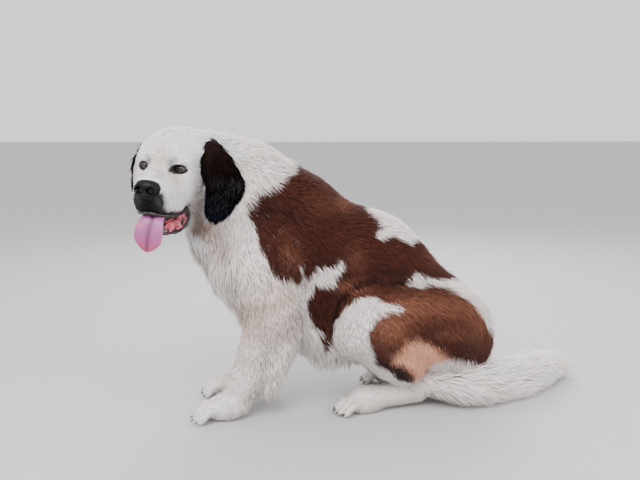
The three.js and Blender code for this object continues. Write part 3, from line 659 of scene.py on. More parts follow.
# Their last value is the share of the far hind leg's way back
THIGH_ROWS = (
    ((20, 205, 300), (-0.3, 0, -1), 38, 12, 0.0, 0.2),
    ((160, 250, 325), (0.35, 0, -0.95), 38, 13, 0.0, 0.1),
    ((180, 200, 385), (0.8, 0, -0.5), 40, 13, 0.0, 0.0),
    ((300, 220, 300), (0.5, 0, -0.85), 44, 14, 0.0, 0.0),
    ((410, 190, 260), (0.35, 0, -0.9), 52, 16, 0.0, 0.0),
    ((460, 150, 170), (0.2, 0, -1), 70, 18, 0.35, 0.0),
    ((110, 250, 225), (0.5, 0, -0.85), 40, 11, 0.0, 0.5),
    ((210, 225, 200), (0.35, 0, -0.9), 44, 12, 0.0, 0.6),
    ((120, 190, 150), (0.6, 0, -0.8), 30, 9, 0.0, 0.7),
    ((200, 175, 110), (0.6, 0, -0.75), 28, 8, 0.0, 1.0),
    ((300, 150, 110), (0.2, 0, -0.95), 40, 10, 0.1, 1.0),
)
HINDFOOT_ROWS = (
    ((310, 110, 45), (-0.4, 0, -0.6), 22, 6, 0.0, 1.0),
    ((210, 145, 45), (-0.95, 0, -0.25), 17, 5, 0.0, 1.0),
    ((200, 70, 45), (-0.95, 0, -0.25), 17, 5, 0.0, 1.0),
    ((130, 115, 72), (-0.95, 0, -0.3), 13, 4, 0.0, 1.0),
    ((35, 125, 35), (-0.85, 0, -0.5), 8, 2.5, 0.0, 1.0),
)
NECK_ROWS = (
    ((-370, -90, 832), (0.8, 0.35, -0.15), 46, 13, 0.0),
    ((-270, -45, 800), (0.85, 0.25, -0.3), 58, 16, 0.0),
    ((-150, -10, 732), (0.9, 0.05, -0.4), 56, 16, 0.0),
    ((-300, -180, 690), (0.55, -0.1, -0.8), 56, 15, 0.0),
    ((-180, -165, 660), (0.65, 0.0, -0.7), 58, 16, 0.0),
    ((-245, -185, 590), (0.35, -0.05, -0.9), 66, 16, 0.0),
    ((-330, 60, 720), (0.5, 0.3, -0.8), 56, 15, 0.0),
    ((-200, 150, 660), (0.55, 0.15, -0.75), 58, 16, 0.0),
    ((-270, 115, 600), (0.25, 0.1, -0.9), 68, 16, 0.0),
    ((-385, -60, 520), (-0.1, -0.05, -1), 92, 19, 0.4),
    ((-360, -100, 585), (0.15, -0.05, -1), 52, 13, 0.1),
    ((-390, 0, 610), (0.15, 0.1, -1), 60, 14, 0.1),
)
# Place and lie in the head's own directions: forward, left and up
HEAD_ROWS = (
    ((152, 0, 2), (-1, 0, 0.15), 6, 1.6),
    ((110, 0, 18), (-1, 0, 0.2), 8, 2),
    ((78, 0, 55), (-0.6, 0, 0.8), 9, 3),
    ((40, 0, 96), (-0.85, 0, 0.5), 24, 7),
    ((-10, 0, 116), (-1, 0, 0.1), 38, 11),
    ((-80, 0, 70), (-1, 0, -0.4), 44, 12),
    ((5, 85, 62), (-0.85, 0.3, -0.45), 30, 9),
    ((50, 74, 50), (-0.85, 0.4, 0.05), 15, 4),
    ((84, 46, 42), (-0.3, 0.5, 0.8), 8, 2.5),
    ((97, 22, 12), (-0.5, 0.2, 0.8), 6, 2),
    ((96, 48, -14), (-0.6, 0.6, -0.5), 8, 2),
    ((40, 95, -35), (-0.8, 0.25, -0.6), 30, 9),
    ((70, 76, -20), (-0.8, 0.4, -0.5), 14, 4),
    ((132, 50, -36), (-0.9, 0.3, -0.3), 7, 1.8),
    ((150, 40, -80), (-0.75, 0.2, -0.6), 7, 1.6),
    ((100, 56, -80), (-0.9, 0.15, -0.45), 9, 2.2),
    ((60, 80, -85), (-0.85, 0.15, -0.5), 22, 6),
    ((110, 0, -160), (-0.9, 0, -0.4), 16, 4),
    ((40, 50, -158), (-0.85, 0.1, -0.5), 28, 7),
    ((-20, 40, -165), (-0.85, 0.1, -0.6), 42, 11),
)


@dataclass
class Comb:
    """The lie, length and depth of the coat at any place, drawn from the nearest guides.

    Attributes:
        softness: How near to a guide its pull stops growing.
    """

    softness: float = 0.012

    def __post_init__(self) -> None:
        """Set out the guides of both sides and keep their values as arrays."""
        self.guides: list[Guide] = []
        for side in Side:
            self.add_side(side)
        for place, *rest in NECK_ROWS:
            self.add(Zone.NECK, place, *rest)
        for place, lie, length, depth in HEAD_ROWS:
            for sign in (-1, 1) if place[1] else (1,):
                spot = on_head(place[0], sign * place[1], place[2]) / MM
                way = FACING * lie[0] + HEAD_LEFT * lie[1] * sign + HEAD_UP * lie[2]
                self.add(Zone.HEAD, spot, way, length, depth, 0.0)
        self.places = np.array([g.place for g in self.guides])
        self.lies = unit(np.array([g.lie for g in self.guides]))
        self.numbers = np.array([(g.length, g.depth, g.hang) for g in self.guides])
        self.zones = np.array([g.zone.number for g in self.guides])

    def add_side(self, side: Side) -> None:
        """Add the guides of the trunk and legs on one side.

        Args:
            side: The side.
        """
        for zone, place, lie, *rest in TRUNK_ROWS:
            self.add(zone, side.trunk(*place), (lie[0], side.sign * lie[1], lie[2]), *rest)
        foreleg, thigh, foot = (Zone[f"{part}_{side.name}"] for part in ("FORELEG", "THIGH", "HINDFOOT"))
        for place, *rest in FORELEG_ROWS:
            self.add(foreleg, side.fore(*place), *rest)
        for zone, rows in ((thigh, THIGH_ROWS), (foot, HINDFOOT_ROWS)):
            for place, *rest, share in rows:
                self.add(zone, side.hind(*place, share), *rest)

    def add(
        self, zone: Zone, place: Sequence[float], lie: Sequence[float], length: float, depth: float, hang: float
    ) -> None:
        """Add one guide whose sizes are in millimetres."""
        spot = np.asarray(place, float) * MM
        self.guides.append(Guide(zone, spot, np.asarray(lie, float), length * MM, depth * MM, hang))

    def weights(self, points: Points) -> Values:
        """Weigh every guide at every point by how near it is.

        Args:
            points: The points.

        Returns:
            The weights, as points by guides.
        """
        square = (points**2).sum(1)[:, None] - 2 * points @ self.places.T + (self.places**2).sum(1)[None, :]
        weight = 1.0 / (np.maximum(square, 0.0) + self.softness**2) ** 2
        return weight / weight.sum(1, keepdims=True)

    def skin_depth(self, points: Points) -> Values:
        """Say how deep the skin lies under the outline."""
        return self.weights(points) @ self.numbers[:, 1]


# ---- meshes from the flesh ----


def spaced(stops: Sequence[tuple[float, float]], end: float) -> Values:
    """Lay grid lines with steps that change at given places.

    Args:
        stops: Where each stretch starts and its step.
        end: Where the last stretch ends.

    Returns:
        The places of the lines.
    """
    lines: list[float] = []
    edges = [start for start, _ in stops[1:]] + [end]
    for (start, step), finish in zip(stops, edges):
        count = max(1, round((finish - start) / step))
        lines.extend(np.linspace(start, finish, count, endpoint=False))
    return np.array([*lines, end])


def wrapped(
    depth: Callable[[Points], Values], lines: tuple[Values, Values, Values], coarse: float
) -> tuple[Points, np.ndarray]:
    """Wrap a closed surface of quads round the places where a depth is nought.

    Args:
        depth: The measure of how far points are outside.
        lines: The grid's lines along the three axes.
        coarse: The step of a first look, past which nothing fine is measured.

    Returns:
        The corners and the quads.
    """
    rough = [np.arange(v[0] - coarse, v[-1] + 2 * coarse, coarse) for v in lines]
    spots = np.stack(np.meshgrid(*rough, indexing="ij"), -1).reshape(-1, 3)
    first = in_runs(depth, spots).reshape([len(v) for v in rough])
    nearest = [np.rint((v - r[0]) / coarse).astype(int) for v, r in zip(lines, rough)]
    values = first[np.ix_(*nearest)].copy()
    # Only places that the first look puts within this many coarse steps of nought are measured again
    near = np.abs(values) < coarse * 1.6
    index = np.argwhere(near)
    exact = np.stack([lines[k][index[:, k]] for k in range(3)], -1)
    values[near] = in_runs(depth, exact)
    inside = values < 0

    shape = [n - 1 for n in values.shape]
    cell_id = np.full(shape, -1, np.int64)
    count = np.zeros(shape, np.int8)
    for corner in np.ndindex(2, 2, 2):
        part = tuple(slice(c, c + s) for c, s in zip(corner, shape))
        count += inside[part]
    cells = np.argwhere((count > 0) & (count < 8))
    cell_id[tuple(cells.T)] = np.arange(len(cells))
    total = np.zeros((len(cells), 3))
    crossings = np.zeros(len(cells))
    for axis in range(3):
        others = [k for k in range(3) if k != axis]
        for offset in np.ndindex(2, 2):
            low = cells.copy()
            for k, shift in zip(others, offset):
                low[:, k] += shift
            high = low.copy()
            high[:, axis] += 1
            a, b = values[tuple(low.T)], values[tuple(high.T)]
            crossed = (a < 0) != (b < 0)
            share = np.where(crossed, a / np.where(crossed, a - b, 1.0), 0.0)
            point = np.stack([lines[k][low[:, k]] for k in range(3)], -1)
            point[:, axis] += share * (lines[axis][high[:, axis]] - lines[axis][low[:, axis]])
            total += point * crossed[:, None]
            crossings += crossed
    corners = total / crossings[:, None]

    quads = []
    for axis in range(3):
        u, v = [k for k in range(3) if k != axis]
        low = [slice(None)] * 3
        high = [slice(None)] * 3
        low[axis], high[axis] = slice(0, -1), slice(1, None)
        starts, ends = inside[tuple(low)], inside[tuple(high)]
        edges = np.argwhere(starts != ends)
        edges = edges[(edges[:, u] > 0) & (edges[:, v] > 0)]
        edges = edges[(edges[:, u] < shape[u]) & (edges[:, v] < shape[v])]
        ring = []
        for du, dv in ((0, 0), (1, 0), (1, 1), (0, 1)):
            cell = edges.copy()
            cell[:, u] -= du
            cell[:, v] -= dv
            ring.append(cell_id[tuple(cell.T)])
        faces = np.stack(ring, -1)
        outward = starts[tuple(edges.T)] ^ (axis == 1)
        faces[~outward] = faces[~outward][:, ::-1]
        quads.append(faces)
    return corners, np.concatenate(quads)


def in_runs(measure: Callable[[Points], Values], points: Points, run: int = 60000) -> Values:
    """Measure many points a run at a time, which keeps memory small."""
    return np.concatenate([measure(points[i : i + run]) for i in range(0, len(points), run)])


def slope(measure: Callable[[Points], Values], points: Points, step: float = 0.002) -> Points:
    """Give the direction in which a measure grows fastest at each point.

    Args:
        measure: The measure.
        points: The points.
        step: How far to each side it is measured.

    Returns:
        The directions.
    """
    moved = np.concatenate([points + s * step * axis for axis in np.eye(3) for s in (-1, 1)])
    values = in_runs(measure, moved).reshape(3, 2, len(points))
    return unit((values[:, 1] - values[:, 0]).T)


def mesh_object(
    name: str, corners: Points, faces: np.ndarray | Sequence[Sequence[int]], finish: bpy.types.Material
) -> bpy.types.Object:
    """Make a smooth mesh object from corners in the dog's frame.

    Args:
        name: The piece's name.
        corners: The corners' places.
        faces: The faces as corner numbers.
        finish: The material.

    Returns:
        The object, riding on the dog's body.
    """
    mesh = bpy.data.meshes.new(name)
    faces = np.asarray(faces)
    size = faces.shape[1]
    mesh.vertices.add(len(corners))
    mesh.vertices.foreach_set("co", (corners + SHIFT).astype(np.float32).ravel())
    mesh.loops.add(faces.size)
    mesh.loops.foreach_set("vertex_index", faces.ravel().astype(np.int32))
    mesh.polygons.add(len(faces))
    mesh.polygons.foreach_set("loop_start", np.arange(0, faces.size, size, dtype=np.int32))
    mesh.polygons.foreach_set("loop_total", np.full(len(faces), size, np.int32))
    mesh.update(calc_edges=True)
    mesh.validate()
    mesh.shade_smooth()
    mesh.materials.append(finish)
    made = bpy.data.objects.new(name, mesh)
    bpy.context.scene.collection.objects.link(made)
    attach(made, "root")
    return made


def paint_corners(made: bpy.types.Object, colours: Points) -> None:
    """Keep a colour at every corner of a mesh, for its material to read.

    Args:
        made: The mesh's object.
        colours: The colours, linear.
    """
    layer = made.data.color_attributes.new("paint", "FLOAT_COLOR", "POINT")
    rgba = np.concatenate([colours, np.ones((len(colours), 1))], 1)
    layer.data.foreach_set("color", rgba.astype(np.float32).ravel())


def ring_faces(rows: int, sides: int, capped: bool = False) -> np.ndarray:
    """Join rings of corners into a sleeve.

    Args:
        rows: How many rings there are.
        sides: How many corners each has.
        capped: Whether two more corners after the last ring close its two ends.

    Returns:
        The faces, as quads.
    """
    faces = []
    for start in range(0, (rows - 1) * sides, sides):
        for k in range(sides):
            a, b = start + k, start + (k + 1) % sides
            faces.append((a, b, b + sides, a + sides))
    last, end = (rows - 1) * sides, rows * sides
    for k in range(0, sides if capped else 0, 2):
        faces.append((end, (k + 2) % sides, k + 1, k))
        faces.append((end + 1, last + k, last + k + 1, last + (k + 2) % sides))
    return np.array(faces)


# ---- markings ----


def signed_outline(points: Points, outline: Outline) -> Values:
    """Measure how far flat points are inside a closed outline, in the outline's units.

    Args:
        points: The flat points.
        outline: The outline's corners in order.

    Returns:
        The distance to the outline, above nought inside.
    """
    ring = np.asarray(outline, float)
    distance = np.full(len(points), np.inf)
    inside = np.zeros(len(points), bool)
    for a, b in zip(ring, np.roll(ring, -1, 0)):
        along = b - a
        share = np.clip(((points - a) @ along) / (along @ along), 0, 1)
        distance = np.minimum(distance, np.linalg.norm(points - a - share[:, None] * along, axis=1))
        crosses = (a[1] > points[:, 1]) != (b[1] > points[:, 1])
        rise = np.where(b[1] == a[1], 1e-9, b[1] - a[1])
        inside ^= crosses & (points[:, 0] < (b[0] - a[0]) * (points[:, 1] - a[1]) / rise + a[0])
    return np.where(inside, distance, -distance)


# Outlines of the markings on the left side, as columns and rows of the view from SIGHT. The right
# side's are the same, seen from the other side.
BROWN = (
    (297, 158), (297, 171), (289, 181), (280, 189), (268, 196), (260, 196), (257, 204), (251, 210),
    (250, 220), (254, 225), (260, 234), (256, 241), (260, 247), (265, 258), (272, 270), (277, 281),
    (282, 284), (289, 282), (298, 287), (305, 290), (307, 300), (307, 306), (309, 315), (312, 324),
    (315, 331), (318, 335), (323, 331), (324, 340), (324, 352), (331, 352), (334, 343), (335, 331),
    (336, 323), (340, 317), (346, 311), (356, 303), (366, 298), (379, 299), (388, 304), (400, 306),
    (405, 310), (404, 313), (392, 314), (384, 319), (377, 323), (371, 332), (368, 337), (370, 344),
    (374, 352), (376, 363), (386, 371), (397, 378), (404, 382), (414, 383), (420, 380), (425, 375),
    (430, 369), (437, 362), (450, 361), (475, 366), (500, 372), (540, 380), (540, 300), (490, 240),
    (420, 180), (340, 140),
)
FLANK_SPOT = (
    (308, 288), (312, 281), (319, 273), (328, 270), (334, 272), (343, 265), (345, 268), (340, 276),
    (337, 283), (333, 289), (330, 291), (328, 288), (324, 290), (321, 287), (316, 288), (314, 294),
    (311, 299), (303, 303),
)
PALE_STREAK = ((300, 268), (302, 267), (307, 282), (309, 290), (303, 292), (302, 280))
BACK_PATCH = (
    (365, 203), (373, 214), (381, 222), (385, 228), (380, 235), (377, 240), (384, 242), (395, 237),
    (401, 239), (409, 245), (419, 242), (445, 245), (430, 205), (390, 180), (360, 185),
)
RUMP_BAND = (
    (405, 287), (412, 284), (414, 276), (420, 277), (427, 280), (437, 281), (447, 280), (459, 280),
    (480, 268), (520, 300), (520, 345), (491, 338), (483, 318), (474, 305), (460, 294), (448, 288),
    (436, 287), (422, 287),
)
TAIL_ROOT_TAN = (
    (391, 366), (391, 359), (402, 352), (407, 345), (419, 341), (431, 345), (440, 352), (452, 358),
    (440, 366), (430, 374), (424, 386), (413, 384), (411, 376), (404, 369),
)
# The fold between the back and the thigh, where shade is painted dark
CREASE_SHADE = (
    (346, 293), (355, 287), (365, 284), (379, 282), (395, 284), (409, 283), (409, 286), (395, 287),
    (379, 286), (366, 288), (356, 291), (348, 298), (341, 306), (338, 316), (337, 330), (334, 340),
    (333, 326), (335, 312), (339, 301),
)
# The dark rim along the lower edge of the brown patch on the hock: darker hair and painted shade
HOCK_DARK = ((376, 356), (383, 362), (391, 367), (402, 368), (411, 376), (413, 381), (404, 383), (386, 373))
# Soft patches of tone: a column, a row, two radii and how strong they are. The dark ones are darker hair and painted
# shade in folds and hollows, the light ones lighter hair and painted highlights.
DARK_HAIR_AND_SHADE_TONES = (
    (264, 212, 17, 18, 0.75), (291, 216, 9, 9, 0.7), (306, 206, 12, 14, 0.3), (338, 268, 30, 12, 0.6),
    (333, 290, 8, 16, 0.9), (396, 276, 26, 7, 0.85), (320, 322, 9, 16, 0.6), (438, 334, 16, 8, 0.7),
    (466, 344, 20, 9, 0.45), (276, 268, 8, 14, 0.3), (384, 262, 10, 10, 0.35),
)
LIGHT_HAIR_AND_HIGHLIGHT_TONES = (
    (292, 260, 10, 16, 0.4), (344, 206, 10, 9, 0.45), (324, 204, 16, 14, 0.15), (352, 290, 16, 6, 0.8),
    (434, 308, 56, 15, 0.6), (392, 334, 18, 16, 0.85), (404, 312, 20, 10, 0.3), (482, 326, 14, 24, 0.5),
    (436, 256, 12, 12, 0.3), (356, 262, 10, 12, 0.25), (452, 338, 20, 7, 0.35),
)
# Painted shade in the deep places and folds of the white coat, in a greyish brown
SHADOW_TONES = (
    (198, 212, 12, 14, 0.85), (203, 232, 13, 12, 0.95), (192, 238, 7, 7, 0.6), (222, 258, 9, 20, 0.5),
    (230, 256, 12, 16, 0.2), (236, 300, 6, 16, 0.35), (232, 286, 8, 10, 0.25), (262, 340, 6, 34, 0.15),
    (296, 322, 8, 12, 0.3), (330, 360, 14, 6, 0.25), (350, 362, 12, 6, 0.35),
)
CREAM_TONES = (
    (243, 168, 9, 16, 0.8), (206, 236, 14, 9, 1.0), (264, 312, 24, 26, 0.75), (287, 300, 12, 12, 0.8),
    (245, 345, 8, 40, 0.6), (215, 262, 14, 12, 0.4), (288, 335, 14, 16, 0.4), (482, 388, 30, 8, 0.5),
    (262, 350, 20, 40, 0.3),
)
# The same for the head, whose two sides are alike
FACE_CREAM = ((163, 152, 4, 10, 0.7), (160, 167, 6, 7, 0.5), (171, 174, 4, 4, 0.8), (176, 180, 5, 4, 0.6))
# Grey marks, with painted shade in the wrinkle at the mouth's corner
FACE_GREY = ((157, 177, 7, 3, 0.7), (176, 159, 2.5, 3, 0.75), (190, 205, 2, 5, 0.5), (166, 206, 4, 5, 0.3))
# Painted shade in front of the ear, under the cheek and under the jaw
FACE_SHADOW = ((199, 196, 6, 18, 0.8), (196, 168, 5, 12, 0.35), (198, 220, 9, 12, 0.95), (182, 240, 16, 5, 0.5))
# Where the muzzle's black is smoky
MUZZLE_SMOKE = ((158, 202, 4, 6, 0.9), (163, 210, 4, 5, 0.6))
# The black of the muzzle's front
MUZZLE = (
    (139, 195), (162, 195), (164, 203), (163.5, 209), (167, 213.5), (174, 216.5), (164, 219), (150, 217),
    (141, 213), (137, 210), (137.5, 203),
)
# The lips' skin and the open mouth on either side, as forward and up in the head's own millimetres
MOUTH_SKIN = (
    (73, -95), (61, -104), (53, -120), (55, -141), (74, -156), (108, -158), (146, -151), (152, -122),
    (124, -108), (84, -101),
)


def off_eye(left: Values, up: Values, stretch: float) -> Values:
    """Measure how far places of the face are from the eye's middle, in a slanted oval."""
    aside = left - 48.5
    return np.hypot(aside / stretch, (up - EYE_MM[2]) + 0.12 * aside)


class Coat(Enum):
    """The coat's colours on a screen, among them painted shade, a painted blue sheen and a painted sky-lit white."""

    WHITE = (245, 235, 231)
    SKYLIT_WHITE = (241, 236, 238)
    CREAM = (226, 192, 176)
    BROWN = (69, 33, 23)
    CHESTNUT = (143, 92, 72)
    MAROON = (46, 21, 16)
    TAN = (244, 177, 145)
    UMBER = (46, 31, 29)
    BLACK = (22, 18, 20)
    DUSK = (38, 24, 21)
    SABLE = (7, 6, 8)
    INK = (12, 12, 24)
    GREY = (150, 143, 146)
    SHADE = (196, 184, 186)
    SHADOW_DUN = (116, 98, 86)
    PINK_SKIN = (214, 158, 150)
    PINK_LIP = (214, 98, 112)

    @property
    def light(self) -> np.ndarray:
        """The linear colour."""
        return linear(*self.value)


@dataclass(frozen=True)
class Markings:
    """Where the coat is brown, white, black, cream and grey, and where shade and highlights are painted on it.

    Attributes:
        edge: Half the width over which one colour runs into the next, in dots of the view.
        wander: How far an outline strays, in dots of the view.
    """

    edge: float = 1.3
    wander: float = 1.6

    def ripple(self, points: Points, size: float) -> Values:
        """Give a smooth random-looking value from about minus one to one.

        Args:
            points: Where it is wanted.
            size: How large its ripples are.

        Returns:
            The values.
        """
        x, y, z = (points / size).T
        first = np.sin(x * 2.1 + 1.3 * np.sin(z * 1.7))
        return (first + np.sin(z * 2.7 + 1.1 * np.sin(y * 2.3)) + np.sin(y * 3.1 + x)) / 3

    def share(self, spots: Points, ripple: Values, outline: Outline) -> Values:
        """Say how far each seen spot lies within an outline."""
        inside = signed_outline(spots, outline) + ripple * self.wander
        return smooth_step(-self.edge, self.edge, inside)

    @staticmethod
    def tone(spots: Points, patches: Patches) -> Values:
        """Add up soft patches at the seen spots, to one at the most.

        Args:
            spots: Columns and rows of the view.
            patches: Each patch's column, row, two radii and strength.

        Returns:
            The strength at each spot.
        """
        total = np.zeros(len(spots))
        for column, row, wide, high, strength in patches:
            total += strength * puff((spots[:, 0], column, wide), (spots[:, 1], row, high))
        return np.minimum(total, 1.0)

    def body(self, points: Points) -> Points:
        """Give the coat's colour on the body, neck and legs.

        Args:
            points: Where the colour is wanted.

        Returns:
            The colours.
        """
        x, y, z = points.T
        spots = SIGHT.seen(np.stack([x, -np.abs(y), z], -1))
        ripple = self.ripple(points, 0.021)
        broad = 0.5 + 0.5 * self.ripple(points, 0.11)
        white = lay(Coat.WHITE.light, Coat.CREAM.light, 0.62 * self.tone(spots, CREAM_TONES) + 0.10 * broad)
        # Painted shade in the deep places and folds of the white coat
        white = lay(white, Coat.SHADOW_DUN.light, 0.9 * self.tone(spots, SHADOW_TONES))
        crease_shade = self.share(spots, ripple, CREASE_SHADE)
        brown = Coat.BROWN.light
        # Darker hair with painted shade in hollows, lighter hair with painted highlights, the tan at the tail's root,
        # the dark rim on the hock and the painted shade of the fold
        for tint, amount in (
            (Coat.MAROON, 0.95 * self.tone(spots, DARK_HAIR_AND_SHADE_TONES) + 0.08 * broad),
            (Coat.CHESTNUT, 0.95 * self.tone(spots, LIGHT_HAIR_AND_HIGHLIGHT_TONES)),
            (Coat.TAN, smooth_step(-3.5, 7.0, signed_outline(spots, TAIL_ROOT_TAN) + ripple * 2.5)),
            (Coat.UMBER, self.share(spots, ripple, HOCK_DARK) * 0.9),
            (Coat.MAROON, crease_shade * 0.9),
        ):
            brown = lay(brown, tint.light, amount)
        # The fold is darkened further: painted shade
        brown = brown * (1 - 0.45 * crease_shade[:, None])
        share = self.share(spots, ripple, BROWN)
        for outline, strength in ((FLANK_SPOT, 1.0), (BACK_PATCH, 1.0), (RUMP_BAND, 1.0), (PALE_STREAK, 0.6)):
            share = share * (1 - strength * self.share(spots, ripple, outline))
        share = share * (1 - smooth_step(0.095, 0.07, z) * smooth_step(0.35, 0.27, x))
        share = share * (1 - smooth_step(0.06, 0.03, z) * smooth_step(0.50, 0.40, x))
        return lay(white, brown, share)

    def head(self, points: Points, grain: Values | None = None) -> Points:
        """Give the short coat's colour on the head.

        Args:
            points: Where the colour is wanted.
            grain: A random draw for each tuft, which makes the muzzle's edge speckled.

        Returns:
            The colours.
        """
        f, side, u = in_head(points).T
        left = np.abs(side)
        spots = SIGHT.seen(np.stack([f, left, u], -1) @ HEAD_AXES * MM + SKULL)
        halo = smooth_step(-7.0, 0.5, signed_outline(spots, MUZZLE)) * smooth_step(95, 115, f)
        dark = self.muzzle_black(f, u, spots)
        if grain is not None:
            dark = smooth_step(0.35, 0.65, dark + (grain - 0.5) * 0.6)
        behind_nose = smooth_step(146, 152, f) * smooth_step(32, 28, left) * smooth_step(-70, -60, u)
        corner = puff((f, 61, 8), (u, -108, 20)) * (left > 30)
        mouth = smooth_step(-1.5, 1.0, signed_outline(np.stack([f, u], -1), MOUTH_SKIN)) * (left > 12)
        # The head's white is a little bluer than the body's: painted sky light
        colour = Coat.SKYLIT_WHITE.light
        for tint, shade, amount in (
            # The stripe up the forehead, the muzzle beside it, painted shade in the hollow under the eye, and the
            # cheek
            (Coat.CREAM, 1.0, puff((side, 0, 15), (f, 100, 34), (u, 16, 30)) * 0.75),
            (Coat.CREAM, 1.0, puff((left, 34, 15), (f, 110, 22), (u, -18, 30)) * 0.55),
            (Coat.SHADE, 1.0, puff((f, 62, 26), (left, 68, 22), (u, -26, 34)) * 0.4),
            (Coat.CREAM, 1.0, puff((f, 10, 34), (left, 88, 26), (u, -66, 52)) * 0.45),
            # The crown's thin hair
            (Coat.PINK_SKIN, 1.0, puff((f, 30, 18), (side, 8, 20), (u, 108, 20)) * 0.3),
            (Coat.CREAM, 1.0, 0.8 * self.tone(spots, FACE_CREAM)),
            # Grey marks, with painted shade in the wrinkle at the mouth's corner
            (Coat.GREY, 1.0, 0.8 * self.tone(spots, FACE_GREY)),
            # Painted shade in front of the ear, under the cheek and under the jaw
            (Coat.SHADOW_DUN, 1.0, 0.8 * self.tone(spots, FACE_SHADOW)),
            # The smudge between eye and forehead, the ring round the eye and the bridge of the nose
            (Coat.GREY, 0.4, puff((left, 30, 9), (u, 28, 13)) * smooth_step(40, 70, f) * 0.8),
            (Coat.BLACK, 1.0, smooth_step(14.5, 11.5, off_eye(left, u, 1.56)) * smooth_step(55, 75, f)),
            (Coat.GREY, 0.8, puff((f, 150, 15), (side, 8, 22), (u, -2, 16)) * 0.8),
            (Coat.BLACK, 1.0, behind_nose * smooth_step(-13, -19, u)),
            # The muzzle's grey edge, its black and the smoke in it
            (Coat.GREY, 0.6, halo * smooth_step(-30, -46, u) * 0.75),
            (Coat.SABLE, 1.0, dark),
            (Coat.GREY, 0.25, 0.6 * dark * self.tone(spots, MUZZLE_SMOKE)),
            # The lips' edge, the mouth's corner and its spotted skin
            (Coat.BLACK, 1.0, smooth_step(-99, -105, u) * smooth_step(40, 80, f) * smooth_step(-125, -116, u)),
            (Coat.BLACK, 1.0, np.clip(corner * 1.3, 0, 0.9)),
            (Coat.PINK_LIP, 1.0, mouth),
            (Coat.BLACK, 1.0, mouth * smooth_step(-0.02, 0.1, self.ripple(points, 0.0085))),
        ):
            colour = lay(colour, tint.light * shade, amount)
        return colour

    @staticmethod
    def muzzle_black(f: Values, u: Values, spots: Points) -> Values:
        """Say how black the front of the muzzle is, below the nose."""
        front = smooth_step(-3.5, 2.0, signed_outline(spots, MUZZLE)) * smooth_step(100, 125, f)
        edge = smooth_step(-90, -99, u) * smooth_step(96, 122, f) * 0.9
        return np.clip(np.maximum(front * smooth_step(-36, -46, u), edge), 0, 1)


MARKINGS = Markings()


# ---- finishes ----


SHADER = "Principled BSDF"


def put(tree: bpy.types.NodeTree, node: bpy.types.Node, values: dict[str | int, object]) -> None:
    """Set a node's sockets, or join other nodes' sockets to them.

    Args:
        tree: The material's nodes.
        node: The node.
        values: Numbers, colours or sockets, by the name or number of the socket that takes each.
    """
    for name, value in values.items():
        if isinstance(value, bpy.types.NodeSocket):
            tree.links.new(value, node.inputs[name])
        else:
            node.inputs[name].default_value = value


def add_node(tree: bpy.types.NodeTree, kind: str, **values: object) -> bpy.types.Node:
    """Add a node to a material.

    Args:
        tree: The material's nodes.
        kind: The node's kind.
        values: What its sockets take, by their names with underscores for spaces.

    Returns:
        The node.
    """
    node = tree.nodes.new(kind)
    put(tree, node, {name.replace("_", " "): value for name, value in values.items()})
    return node


def painted(tree: bpy.types.NodeTree) -> bpy.types.NodeSocket:
    """Give the colour that is kept on the mesh."""
    paint = add_node(tree, "ShaderNodeVertexColor")
    paint.layer_name = "paint"
    return paint.outputs["Color"]


@dataclass(frozen=True)
class Finish:
    """What every finish has: a name, a roughness and a sheen.

    Attributes:
        name: The material's name.
        roughness: How dull the surface is.
        specular: How strongly it reflects.
        sheen: How much light its fine hair catches.
    """

    name: str
    roughness: float = 0.6
    specular: float = 0.4
    sheen: float = 0.0

    def start(self, film: dict[str | int, object] | None = None) -> tuple[bpy.types.Material, bpy.types.NodeTree]:
        """Make the material with its plain values.

        Args:
            film: More of the shader's values, by their sockets' names.

        Returns:
            The material and its nodes.
        """
        made = bpy.data.materials.new(self.name)
        made.use_nodes = True
        plain = {"Roughness": self.roughness, "Specular IOR Level": self.specular, "Sheen Weight": self.sheen}
        put(made.node_tree, made.node_tree.nodes[SHADER], plain | (film or {}))
        return made, made.node_tree

    @staticmethod
    def noise(
        tree: bpy.types.NodeTree, scale: float, detail: float, coords: bpy.types.NodeSocket
    ) -> bpy.types.NodeSocket:
        """Add a noise texture on given coordinates."""
        return add_node(tree, "ShaderNodeTexNoise", Scale=scale, Detail=detail, Vector=coords).outputs["Fac"]

    @staticmethod
    def bump(tree: bpy.types.NodeTree, height: bpy.types.NodeSocket, strength: float, distance: float) -> None:
        """Add a bump and join it to the shader."""
        node = add_node(tree, "ShaderNodeBump", Strength=strength, Distance=distance, Height=height)
        put(tree, tree.nodes[SHADER], {"Normal": node.outputs["Normal"]})

    @staticmethod
    def mix(tree: bpy.types.NodeTree, share: object, first: object, second: object, mode: str = "MIX") -> None:
        """Mix two colours and join the mixed one to the shader.

        Args:
            tree: The material's nodes.
            share: How much of the second colour, as a socket or a number.
            first: The first colour, as a socket or four values.
            second: The second colour.
            mode: How they are mixed.
        """
        node = tree.nodes.new("ShaderNodeMix")
        node.data_type = "RGBA"
        node.blend_type = mode
        put(tree, node, {0: share, 6: first, 7: second})
        put(tree, tree.nodes[SHADER], {"Base Color": node.outputs[2]})


@dataclass(frozen=True)
class HairFinish(Finish):
    """Hair whose colour is kept on the mesh, with fine strands along each tuft.

    Attributes:
        strands: How many strands to a metre of its width.
    """

    strands: float = 1500.0

    def make(self) -> bpy.types.Material:
        """Make the material."""
        made, tree = self.start()
        paint = painted(tree)
        along = add_node(tree, "ShaderNodeUVMap")
        along.uv_map = "strand"
        streaks = self.noise(tree, self.strands, 2.0, along.outputs["UV"])
        ramp = add_node(
            tree, "ShaderNodeMapRange", From_Min=0.25, From_Max=0.75, To_Min=0.78, To_Max=1.14, Value=streaks
        )
        self.mix(tree, 1.0, paint, ramp.outputs["Result"], "MULTIPLY")
        self.bump(tree, streaks, 0.4, 0.0004)
        return made


